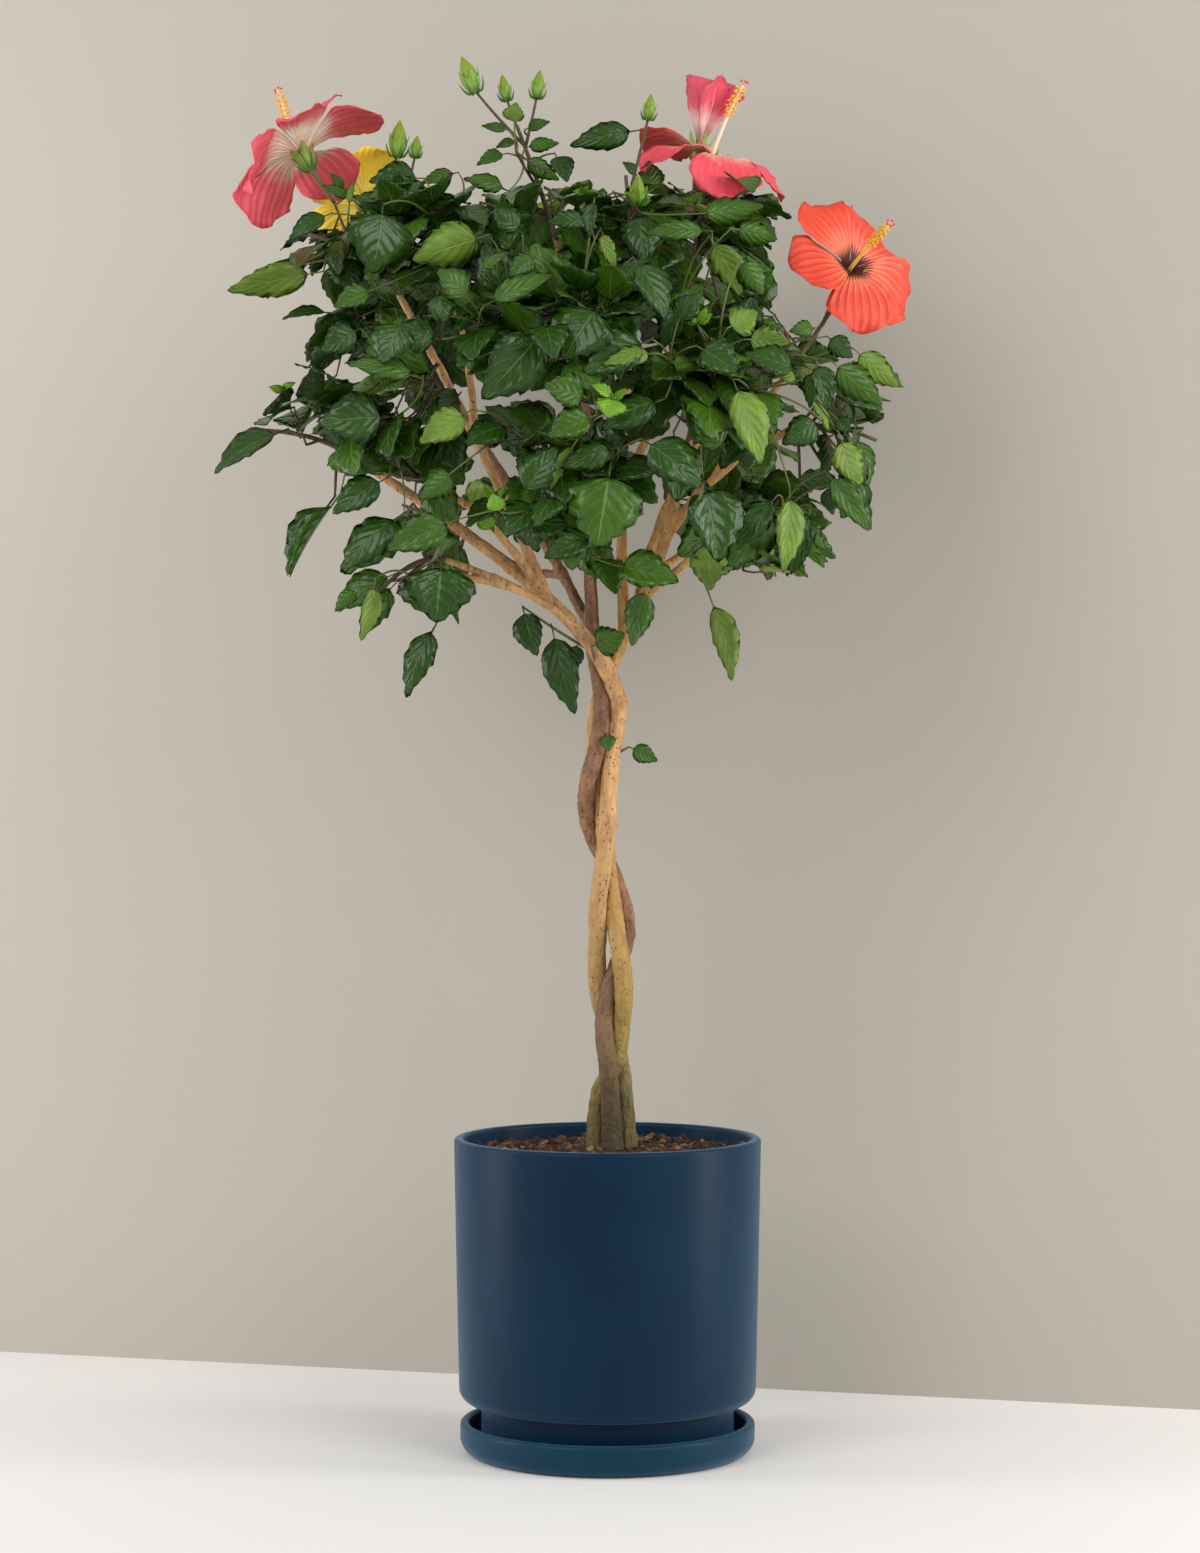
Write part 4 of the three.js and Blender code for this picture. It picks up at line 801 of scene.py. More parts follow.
def leaf_fits(mass, leaf, clearance):
    """Whether a leaf has room and keeps to the reach of the plant's solids."""
    spots = [leaf["root"].lerp(leaf["tip"], along) + leaf["side"] * (aside * leaf["breadth"] / 2)
             for along, aside in LEAF_SPOTS]
    low, high = (np.array(corner) for corner in (cad_low, cad_high))
    if (spots < low - PAST_REACH).any() or (spots > high + PAST_REACH).any():
        return False
    return has_room(mass, spots, LEAF_WALL, clearance)


def twig_fits(mass, root, tip, wall, clearance):
    spots = [root.lerp(tip, along) for along in (0.15, 0.3, 0.45, 0.6, 0.75, 0.9, 1)]
    return has_room(mass, spots, wall, clearance)


def lines_pass(starts, ends, corners):
    """Whether any of the lines passes through any of the triangles."""
    way = (ends - starts)[:, None]
    one, two = corners[:, 1] - corners[:, 0], corners[:, 2] - corners[:, 0]
    normal = np.cross(way, two[None])
    scale = (one[None] * normal).sum(-1)
    scale[np.abs(scale) < 1e-12] = 1e-12
    offset = starts[:, None] - corners[None, :, 0]
    across = (offset * normal).sum(-1) / scale
    turned = np.cross(offset, one[None])
    along = (way * turned).sum(-1) / scale
    reach = (two[None] * turned).sum(-1) / scale
    return bool(((across >= 0) & (along >= 0) & (across + along <= 1) & (reach > 0) & (reach < 1)).any())


def halves(blades):
    return np.concatenate([blades[:, [0, 1, 2]], blades[:, [0, 2, 3]]])


def outlines(blades):
    starts = blades[:, [0, 1, 0, 3, 0]].reshape(-1, 3)
    return starts, blades[:, [1, 2, 3, 2, 2]].reshape(-1, 3)


def crosses_leaves(leaf, leaves):
    if not leaves:
        return False
    own = leaf["blade"][None]
    others = np.array([other["blade"] for other in leaves])
    return lines_pass(*outlines(own), halves(others)) or lines_pass(*outlines(others), halves(own))


def make_leaf(root, tip, breadth, facing, **more):
    """A leaf that turns its face as near to a direction as its own heading lets it. Its blade has
    four corners: its root, its widest spots on both sides, and its tip."""
    heading = (tip - root).normalized()
    side = heading.cross(facing).normalized()
    face = side.cross(heading).normalized()
    middle = root.lerp(tip, 0.42) + face * (0.1 * breadth)
    half = side * (breadth / 2)
    blade = np.array([root, middle - half, tip, middle + half])
    return dict(root=root, tip=tip, breadth=breadth, side=side, face=face, blade=blade, **more)


def outward_leaf(root, tip, breadth, tilt, **more):
    facing = (root - CROWN_HEART).normalized() * 0.9 + UP * 0.8 + tilt
    return make_leaf(root, tip, breadth, facing, **more)


def showing_leaf(root, tip, breadth, shade, underside):
    """A leaf that turns its face, or its underside, to the front."""
    root, tip = millimetres(root), millimetres(tip)
    aside, up = 0.5 * math.sin(root.x * 90), 0.3 + 0.25 * math.sin(root.z * 70)
    facing = Vector((aside, 1 if underside else -1, up))
    return make_leaf(root, tip, breadth * MM, facing, shade=shade)


showing = [showing_leaf(*row) for row in SHOWING_LEAVES]
for count, spot in enumerate(YOUNG_TIPS):
    for step in range(TUFT):
        turn = step * GOLDEN_ANGLE + count
        reach = Vector((math.cos(turn) * 11, math.sin(turn) * 7 - 2, 8 + 5 * math.sin(5 * turn)))
        showing.append(showing_leaf(spot, Vector(spot) + reach * 1.15, 7.5, YOUNG, 0))


def middle_of(leaf):
    return (leaf["root"] + leaf["tip"]) / 2


# Where the photo was taken from, in millimetres
EYE = Vector((-6.6, -3000, 593))


def stands_in(leaf, openings):
    """Whether a leaf stands in one of the openings, seen from the front."""
    for share in (0.35, 0.6, 0.85):
        sight = leaf["root"].lerp(leaf["tip"], share) / MM - EYE
        spot = EYE + sight * (-EYE.y / sight.y)
        if any(left < spot.x < right and low < spot.z < high for left, right, low, high in openings):
            return True
    return False


def curve_point(foot, bend, head, along):
    return foot * (1 - along) ** 2 + bend * 2 * along * (1 - along) + head * along ** 2


def curve_path(foot, bend, head, steps):
    return [curve_point(foot, bend, head, step / steps) for step in range(steps + 1)]


def even_ways(count, turn):
    """Directions spread evenly over a ball, from its top down."""
    for step in range(count):
        rise = 1 - (2 * step + 1) / count
        level, angle = math.sqrt(1 - rise * rise), step * GOLDEN_ANGLE + turn
        yield Vector((level * math.cos(angle), level * math.sin(angle), rise))


def set_leaves(mass, shoot, growth, draw, places, trials, sizes, clearance, droop):
    """Sets leaves round a shoot at the golden angle, each where it finds room."""
    along = (shoot["tip"] - shoot["root"]).normalized()
    across = along.cross(UP).normalized()
    over = across.cross(along)
    start = draw() * 2 * math.pi
    for count, share in enumerate(places):
        root = shoot["root"].lerp(shoot["tip"], share)
        for trial in range(trials):
            angle = start + (count + trial * len(places)) * GOLDEN_ANGLE
            way = (root - CROWN_HEART).normalized() * 0.6
            way += across * (0.9 * math.cos(angle)) + over * (0.9 * math.sin(angle))
            way += along * (1 if share == 1 else 0.35)
            way = (way + UP * ((draw() - 0.5) * 0.5 - droop)).normalized()
            length = (sizes[0] + (sizes[1] - sizes[0]) * draw()) * MM
            tilt = Vector(((draw() - 0.5) * 0.9, (draw() - 0.5) * 0.9, (draw() - 0.5) * 0.6))
            leaf = outward_leaf(root, root + way * length, length * LEAF_BREADTH_SHARE, tilt, shoot=shoot)
            if not crosses_leaves(leaf, growth["leaves"] + showing) and leaf_fits(mass, leaf, clearance):
                growth["leaves"].append(leaf)
                break


def grow(mass):
    """The source's rule: shoots fan out from the mass's own stem, and leaves stand round them.
    Finer side twigs with smaller leaves then fill the room that is left."""
    mass["spread"] = BALL_SHARE
    draw = seeded(mass["seed"])
    outward = (mass["centre"] - CROWN_HEART).normalized()
    foot, head = mass["foot"], mass["centre"] + outward * (mass["radius"] * STEM_HEAD)
    run = (head - foot).length
    stem = (foot, foot + mass["heading"] * (STEM_BEND * run), head)
    growth = dict(stem=stem, shoots=[], leaves=[], side_twigs=[], showing=[])

    def add_shoot(end, kind="shoot"):
        along = (end - foot).dot(head - foot) / run ** 2
        root = curve_point(*stem, min(max(along - SHOOT_LAG, SHOOTS_LEAVE[0]), SHOOTS_LEAVE[1]))
        if kind == "shoot" and not twig_fits(mass, root, end, TWIG_WALL, TWIG_CLEARANCE):
            return None
        growth["shoots"].append(dict(root=root, tip=end, kind=kind))
        return growth["shoots"][-1]

    for root, tip, breadth in mass.get("outer", []):
        shoot = add_shoot(millimetres(root), "outer")
        leaf = outward_leaf(millimetres(root), millimetres(tip), breadth * MM, Vector((0, -1.1, 0)),
                            shoot=shoot)
        if min((middle_of(leaf) - middle_of(other)).length for other in showing) > 40 * MM:
            growth["leaves"].append(leaf)
    leafy = [add_shoot(bloom["foot"], "bloom") for bloom in BLOOMS.values()
             if MASSES[bloom["mass"]] is mass]
    leafy += [add_shoot(spot, "bud") for spot in mass["buds"]]
    for way in even_ways(SHOOTS, mass["seed"]):
        reach = mass["radius"] * (SHOOT_REACH[0] + SHOOT_REACH[1] * draw())
        if way.dot(outward) > MOST_INWARD:
            for share in SHOOT_TRIES:
                shoot = add_shoot(mass["centre"] + way * (reach * share))
                if shoot:
                    leafy.append(shoot)
                    break
    leafy.append(dict(root=curve_point(*stem, 0.5), tip=head, kind="stem"))
    for shoot in leafy:
        set_leaves(mass, shoot, growth, draw, **SHOOT_LEAVES)
    mass["spread"] = FINE_BALL_SHARE
    fine = seeded(mass["seed"] + 500)
    for shoot in leafy:
        for count, way in enumerate(even_ways(FINE_TWIGS, 9 * fine())):
            root = shoot["root"].lerp(shoot["tip"], 0.15 + 0.1 * count)
            reach = mass["radius"] * (FINE_REACH[0] + FINE_REACH[1] * fine())
            lean = (way + (root - CROWN_HEART).normalized() * FINE_LEAN[count % 2]).normalized()
            tip = root + lean * reach
            if twig_fits(mass, root, tip, FINE_WALL, FINE_CLEARANCE):
                twig = dict(root=root, tip=tip, kind="fine", parent=shoot)
                growth["side_twigs"].append(twig)
                set_leaves(mass, twig, growth, fine, **FINE_LEAVES)

    def carried(shoot):
        return [leaf["root"] for leaf in growth["leaves"] if leaf["shoot"] is shoot] \
            + [twig["root"] for twig in growth["side_twigs"] if twig["parent"] is shoot]

    growth["leaves"] = [leaf for leaf in growth["leaves"] if not stands_in(leaf, BLOOM_WINDOWS)
                        and (leaf["shoot"]["kind"] == "outer" or not stands_in(leaf, OPEN_SKY))]
    growth["side_twigs"] = [twig for twig in growth["side_twigs"] if carried(twig)]
    growth["shoots"] = [shoot for shoot in growth["shoots"] if shoot["kind"] in ("bloom", "bud")
                        or carried(shoot)]
    for shoot in growth["side_twigs"] + growth["shoots"]:
        if shoot["kind"] not in ("bloom", "bud"):
            way = shoot["tip"] - shoot["root"]
            furthest = max((spot - shoot["root"]).dot(way) for spot in carried(shoot))
            shoot["tip"] = shoot["root"] + way * furthest / way.length_squared
    return growth


for mass in MASSES.values():
    mass["growth"] = grow(mass)


def wood_near(spot):
    """The nearest spot on any mass's stem or shoots, and the mass it belongs to."""
    reach = []
    for mass in MASSES.values():
        growth = mass["growth"]
        for share in (0.1, 0.25, 0.4, 0.55, 0.7, 0.85, 0.98):
            reach.append((curve_point(*growth["stem"], share), mass))
            reach += [(twig["root"].lerp(twig["tip"], share), mass)
                      for twig in growth["shoots"] + growth["side_twigs"]]
    return min(reach, key=lambda place: (place[0] - spot).length)


for leaf in showing:
    leaf["joint"], mass = wood_near(leaf["root"])
    bark = bark_surface.find_nearest(leaf["root"])
    if bark[3] < (leaf["joint"] - leaf["root"]).length:
        leaf["joint"] = bark[0] - bark[1] * 2 * MM
    mass["growth"]["showing"].append(leaf)


def band_faces(first, bands, sides):
    """The faces between rings of corners that follow one another."""
    faces = []
    for band in range(bands):
        for step in range(sides):
            here, beside = first + band * sides + step, first + band * sides + (step + 1) % sides
            faces.append((here, beside, beside + sides, here + sides))
    return faces


def tube(corners, faces, path, radii, sides):
    """Adds a round tapering tube along a path to lists of corners and faces, closed at its ends."""
    first = len(corners)
    for index, spot in enumerate(path):
        ahead = (path[min(index + 1, len(path) - 1)] - path[max(index - 1, 0)]).normalized()
        side = (side - ahead * side.dot(ahead)).normalized() if index else ahead.orthogonal().normalized()
        front = ahead.cross(side)
        for step in range(sides):
            turn = 2 * math.pi * step / sides
            corners.append(spot + (side * math.cos(turn) + front * math.sin(turn)) * radii[index])
    faces += band_faces(first, len(path) - 1, sides)
    faces.append([len(corners) - sides + step for step in range(sides)])
    faces.append([first + step for step in reversed(range(sides))])


def mesh_piece(name, corners, faces, *finishes):
    mesh = bpy.data.meshes.new(name)
    mesh.from_pydata(corners, [], faces)
    mesh.polygons.foreach_set("use_smooth", [True] * len(faces))
    for finish in finishes:
        mesh.materials.append(finish)
    piece = bpy.data.objects.new(name, mesh)
    bpy.context.scene.collection.objects.link(piece)
    return piece


def shoot_path(shoot, sag, steps):
    """A shoot bows a little under its leaves between its root and its tip."""
    run = (shoot["tip"] - shoot["root"]).length
    return [shoot["root"].lerp(shoot["tip"], step / steps)
            - UP * (sag * run * 4 * (step / steps) * (1 - step / steps)) for step in range(steps + 1)]


def into_blade(leaf):
    """Where a leaf's stalk ends, a little way into its blade."""
    length = (leaf["tip"] - leaf["root"]).length
    return leaf["root"].lerp(leaf["tip"], 0.17) + leaf["face"] * 0.03 * length


def masses_in(region):
    return [mass for mass in MASSES.values() if mass["region"] == region]


REGIONS = ("left", "right", "front", "top", "back")
STEM_RADII = [(2.5 - 0.9 * step / 8) * MM for step in range(9)]
SHOOT_RADII = [thick * MM for thick in (1.6, 1.5, 1.4, 1.25, 1.1)]
FINE_RADII = [thick * MM for thick in (1.15, 1, 0.9, 0.8)]
STALK_RADII = [(1.15 - 0.08 * step) * MM for step in range(8)]
stalk_green = paint(92, 96, 40)
stalk_skin = start_material("leaf_stalk_green", stalk_green, 0.5)[0]
twig_skin = bark_finish("twig_skin", paint(100, 76, 56), paint(70, 52, 42), paint(50, 38, 30),
                        paint(84, 70, 46), 0.2)
for region in REGIONS:
    corners, faces = [], []
    for mass in masses_in(region):
        growth = mass["growth"]
        foot, bend, head = growth["stem"]
        tube(corners, faces, curve_path(foot - mass["heading"] * 4 * MM, bend, head, 8), STEM_RADII, 8)
        for shoot in growth["shoots"]:
            tube(corners, faces, shoot_path(shoot, 0.02, 4), SHOOT_RADII, 6)
        for twig in growth["side_twigs"]:
            tube(corners, faces, shoot_path(twig, 0.03, 3), FINE_RADII, 5)
    woody = len(faces)
    for mass in masses_in(region):
        for leaf in mass["growth"]["showing"]:
            joint, root = leaf["joint"], leaf["root"]
            bow = (joint + root) / 2 - (leaf["tip"] - root).normalized() * (0.2 * (root - joint).length)
            path = curve_path(joint, bow, root, 6) + [into_blade(leaf)]
            tube(corners, faces, path, STALK_RADII, 6)
    twigs = mesh_piece(f"twigs_{region}", corners, faces, twig_skin, stalk_skin)
    for face in twigs.data.polygons[woody:]:
        face.material_index = 1
    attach(twigs, ROOT)


def vein_pattern():
    """Pale midrib and side veins, and the puckered blade between them, along a leaf's own UV."""
    group, given, results = pattern_group("leaf_veins", ("Blade", "Vein"))
    split = group.nodes.new("ShaderNodeSeparateXYZ")
    group.links.new(group.nodes.new("ShaderNodeTexCoord").outputs["UV"], split.inputs["Vector"])
    aside = math_node(group, "ABSOLUTE", math_node(group, "SUBTRACT", split.outputs["Y"], 0.5))
    rib = remap(group, aside, 0.006, 0.026, 1, 0)
    slant = math_node(group, "MULTIPLY_ADD", aside, -0.95, split.outputs["X"])
    step = math_node(group, "FRACT", math_node(group, "MULTIPLY", slant, 5.2))
    near = math_node(group, "ABSOLUTE", math_node(group, "SUBTRACT", step, 0.5))
    side_vein = math_node(group, "MULTIPLY", remap(group, near, 0.01, 0.05, 1, 0),
                          remap(group, aside, 0.25, 0.48, 0.75, 0.15))
    vein = math_node(group, "MAXIMUM", rib, side_vein)
    where = piece_coordinates(group)
    mottle = remap(group, cloud(group, where, 55, 3), 0.35, 0.65, 0, 0.3)
    shade = blend_colours(group, mottle, given["Blade"], paint(20, 46, 8))
    pale = math_node(group, "MULTIPLY", vein, 0.45)
    group.links.new(blend_colours(group, pale, shade, given["Vein"]), results["Color"])
    swell = math_node(group, "MULTIPLY", remap(group, near, 0, 0.5), 0.7)
    relief = math_node(group, "MULTIPLY_ADD", cloud(group, where, 160, 3), 1.2,
                       math_node(group, "SUBTRACT", swell, rib))
    group.links.new(relief, results["Relief"])
    return group


vein_group = vein_pattern()


def leaf_finish(name, blade, vein, roughness, depth):
    material, shader = wear(name, vein_group, roughness, depth, Blade=blade, Vein=vein)
    shader.inputs["Specular IOR Level"].default_value = 0.32
    return material


def join_pieces(name, pieces):
    bpy.ops.object.select_all(action="DESELECT")
    for piece in pieces:
        piece.select_set(True)
    bpy.context.view_layer.objects.active = pieces[0]
    if len(pieces) > 1:
        bpy.ops.object.join()
    joined = bpy.context.object
    joined.name = name
    return joined


def model_leaf(name, arch, fold, wave):
    """One leaf a unit long along x and a unit broad along y: a toothed blade on a short stalk.
    arch lifts its middle, fold lifts its margins, and wave ripples them."""
    rows, widest, stalk = 12, 0.38, 0.16
    bpy.ops.object.select_all(action="DESELECT")
    bpy.ops.mesh.primitive_grid_add(x_subdivisions=rows, y_subdivisions=4, size=1, location=(0.5, 0, 0))
    leaf = bpy.context.object
    leaf.name = name
    bpy.ops.object.transform_apply(location=True)
    mesh = leaf.data
    for corner in mesh.vertices:
        along = corner.co.x
        if along < widest:
            width = math.sin(math.pi * min(1, 0.5 * (along / widest) ** 0.62))
        else:
            width = max(0.0, 1 - ((along - widest) / (1 - widest)) ** 1.6) * (1.06 - 0.158 * along)
        row = round(along * rows)
        margin = abs(corner.co.y) > 0.4
        toothed = margin and 3 < row < rows
        tooth = (0.035 if row % 2 else -0.025) if toothed else 0
        sweep = 0.022 if row % 2 and toothed else 0
        aside = corner.co.y * (width + tooth)
        ripple = wave * math.sin(row * 2.1 + (1 if corner.co.y > 0 else 2.4)) if margin else 0
        x = stalk + (1 - stalk) * (along + sweep)
        corner.co = (x, aside, arch * 4 * x * (1 - x) + fold * abs(aside) + ripple * 0.03)
    select_only(leaf)
    bpy.ops.object.mode_set(mode="EDIT")
    bpy.ops.mesh.select_all(action="SELECT")
    bpy.ops.mesh.duplicate_move(TRANSFORM_OT_translate={"value": (0, 0, -0.009)})
    bpy.ops.mesh.flip_normals()
    bpy.ops.object.mode_set(mode="OBJECT")
    half = len(mesh.polygons) // 2
    edge_uses = {}
    for face in mesh.polygons:
        face.material_index = 1 if face.index >= half else 0
        for key in face.edge_keys:
            edge_uses[key] = edge_uses.get(key, 0) + 1
    rim = {corner for key, uses in edge_uses.items() if uses == 1 for corner in key}
    for corner in mesh.vertices:
        corner.select = corner.index in rim
    bpy.ops.object.mode_set(mode="EDIT")
    bpy.ops.mesh.remove_doubles(threshold=0.0098)
    bpy.ops.object.mode_set(mode="OBJECT")
    bpy.ops.mesh.primitive_cylinder_add(
        vertices=4, radius=0.015, depth=stalk + 0.03, location=(stalk / 2, 0, arch * stalk * 1.6),
        rotation=(0, math.pi / 2 - arch * 2.6, 0))
    stem = bpy.context.object
    bpy.ops.object.transform_apply(location=True, rotation=True)
    for face in stem.data.polygons:
        face.material_index = 2
    for _ in range(3):
        leaf.data.materials.append(None)
    return join_pieces(name, [leaf, stem])


leaf_models = [model_leaf("leaf_arched", 0.08, 0.12, 0.3), model_leaf("leaf_cupped", 0.05, 0.3, 0.6),
               model_leaf("leaf_wavy", 0.12, -0.04, 0.9)]
SHADES = [
    ("deep", paint(38, 70, 12), paint(98, 132, 56), paint(96, 120, 44), 0.24),
    ("green", paint(58, 94, 16), paint(114, 146, 56), paint(110, 134, 50), 0.28),
    ("fresh", paint(104, 134, 40), paint(148, 170, 78), paint(128, 148, 62), 0.4),
    ("young", paint(112, 164, 28), paint(168, 200, 74), paint(140, 178, 56), 0.38),
]
leaf_finishes = []
for shade, blade, vein, under, gloss in SHADES:
    pale_vein = tuple(value * 1.3 for value in under)
    leaf_finishes += [leaf_finish(f"leaf_{shade}_top", blade, vein, gloss, 0.0005),
                      leaf_finish(f"leaf_{shade}_underside", under, pale_vein, 0.62, 0.0004),
                      start_material(f"leaf_{shade}_stalk", stalk_green, 0.5)[0]]

# Short shoots straight from the trunk: a stalk, then each leaf's root, tip and breadth
TRUNK_SHOOTS = {
    "shoot_fork_left": dict(stalk=((-11, -19, 701), (-74, -27, 741)), shade=DEEP, leaves=[
        ((-74, -27, 741), (-61, -32, 697), 24), ((-49, -24, 725), (-28, -34, 646), 28),
        ((-26, -21, 711), (-31, -16, 684), 14)]),
    "leaf_fork": dict(stalk=((-10, -17, 690), (-14, -36, 706)), shade=GREEN,
                      leaves=[((-14, -36, 706), (16, -44, 717), 24)]),
    "leaf_trunk_front": dict(stalk=((1, -8, 626), (-1, -20, 631)), shade=GREEN,
                             leaves=[((-1, -20, 631), (1, -26, 614), 13)]),
    "leaf_trunk_right": dict(stalk=((5, -5, 612), (19, -6, 619)), shade=GREEN,
                             leaves=[((19, -6, 619), (45, -8, 606), 15)]),
}


def leaf_frame(leaf):
    """Where a model leaf goes: its origin, then its length, its breadth and its thickness."""
    way = leaf["tip"] - leaf["root"]
    heading = way.normalized()
    return (leaf["root"] - heading * MM, heading * way.length,
            leaf["side"] * (-1.16 * leaf["breadth"]), leaf["face"] * way.length)


# Each spray leans to one shade, and each leaf in it strays a little from that
SPRAY_SHADES = (DEEP, DEEP, GREEN, GREEN, FRESH)
pick = seeded(77)
for region in REGIONS:
    frames = [[] for _ in leaf_models]
    shades = [[] for _ in leaf_models]
    for mass in masses_in(region):
        spray = pick()
        for leaf in mass["growth"]["leaves"] + mass["growth"]["showing"]:
            if "shade" not in leaf:
                mixed = 0.45 * spray + 0.55 * pick()
                leaf["shade"] = SPRAY_SHADES[int(mixed * 4.99)]
            style = int(pick() * len(leaf_models))
            frames[style].append(leaf_frame(leaf))
            shades[style].append(leaf["shade"])
    foliage = join_pieces(f"foliage_{region}", [
        join_copies("leaves", model, own, leaf_finishes, own_shades)
        for model, own, own_shades in zip(leaf_models, frames, shades) if own])
    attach(foliage, ROOT)
    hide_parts(*[name for name, mass in MASSES.items() if mass["region"] == region])

for name, plan in TRUNK_SHOOTS.items():
    corners, faces = [], []
    root, tip = (millimetres(spot) for spot in plan["stalk"])
    tube(corners, faces, shoot_path(dict(root=root, tip=tip), 0.02, 4),
         [thick * MM for thick in (1.5, 1.4, 1.3, 1.2, 0.9)], 6)
    leaves = [outward_leaf(millimetres(root), millimetres(tip), breadth * MM, Vector((0, -1, 0)))
              for root, tip, breadth in plan["leaves"]]
    for leaf in leaves:
        tube(corners, faces, [leaf["root"], into_blade(leaf)], [0.8 * MM, 0.55 * MM], 6)
    stalk = mesh_piece(f"{name}_stalk", corners, faces, stalk_skin)
    shoot = join_copies(f"{name}_leaves", leaf_models[0], [leaf_frame(leaf) for leaf in leaves],
                        leaf_finishes, [plan["shade"]] * len(leaves))
    for piece in (stalk, shoot):
        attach(piece, ROOT)
    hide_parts(name)

for model in leaf_models:
    bpy.data.objects.remove(model)


# Blooms: five broad soft petals, each with fine veins and a ruffled margin, that lie over one
# another round a throat. A long pale column stands out of it and carries yellow anthers and five
# red stigma dots. Behind the petals sit a green calyx of five points and a ring of narrow bracts.

def petal_pattern():
    """A petal's colours along its own UV: throat, base, body and margin, and veins that fan out."""
    group, given, results = pattern_group("petal_veins", ("Body", "Base", "Eye", "Vein", "Margin"))
    split = group.nodes.new("ShaderNodeSeparateXYZ")
    group.links.new(group.nodes.new("ShaderNodeTexCoord").outputs["UV"], split.inputs["Vector"])
    along = split.outputs["X"]
    aside = math_node(group, "SUBTRACT", split.outputs["Y"], 0.5)
    where = piece_coordinates(group)
    drift = math_node(group, "SUBTRACT", cloud(group, where, 70, 2), 0.5)
    reach = math_node(group, "MULTIPLY_ADD", drift, 0.35, along)
    streak = math_node(group, "MULTIPLY_ADD", drift, 0.5, math_node(group, "MULTIPLY", aside, 34))
    line = math_node(group, "SINE", math_node(group, "MULTIPLY_ADD", aside, 20, streak))
    fan = math_node(group, "MULTIPLY", remap(group, line, 0.55, 1), remap(group, reach, 0.95, 0.25))
    colour = blend_colours(group, remap(group, reach, 0.9, 1.08), given["Body"], given["Margin"])
    colour = blend_colours(group, remap(group, reach, 0.6, 0.22), colour, given["Base"])
    colour = blend_colours(group, math_node(group, "MULTIPLY", fan, 0.5), colour, given["Vein"])
    ray = remap(group, math_node(group, "MULTIPLY_ADD", line, 0.05, along), 0.27, 0.17)
    group.links.new(blend_colours(group, ray, colour, given["Eye"]), results["Color"])
    crimp = math_node(group, "MULTIPLY_ADD", cloud(group, where, 220, 3), 1.5, line)
    group.links.new(crimp, results["Relief"])
    return group


petal_group = petal_pattern()


def petal_finish(name, body, base, eye, vein, margin):
    material, shader = wear(name, petal_group, 0.55, 0.0003, Body=body, Base=base, Eye=eye, Vein=vein,
                            Margin=margin)
    shader.inputs["Subsurface Weight"].default_value = 0.15
    shader.inputs["Subsurface Scale"].default_value = 0.01
    shader.inputs["Subsurface Radius"].default_value = (1, 0.4, 0.3)
    return material


# Each bloom's slot, and its petals' finish and colours: body, base, eye, vein and margin
PETALS = {
    "bloom_left": ("coral_petal", "coral_petal_left", (230, 74, 94), (253, 226, 206), (240, 190, 160),
                   (250, 176, 168), (214, 50, 78)),
    "bloom_top_right": ("coral_petal", "coral_petal_right", (236, 70, 84), (248, 184, 160), (214, 100, 96),
                        (244, 120, 122), (228, 58, 80)),
    "bloom_faded": ("faded_petal", "faded_petal", (218, 74, 98), (242, 200, 190), (220, 160, 150),
                    (236, 160, 166), (180, 40, 84)),
    "bloom_yellow": ("yellow_petal", "yellow_petal", (245, 204, 46), (248, 222, 90), (236, 190, 60),
                     (248, 212, 70), (242, 196, 42)),
    "bloom_orange": ("orange_petal", "orange_petal", (220, 60, 36), (236, 104, 76), (82, 8, 16),
                     (246, 150, 116), (208, 44, 32)),
}


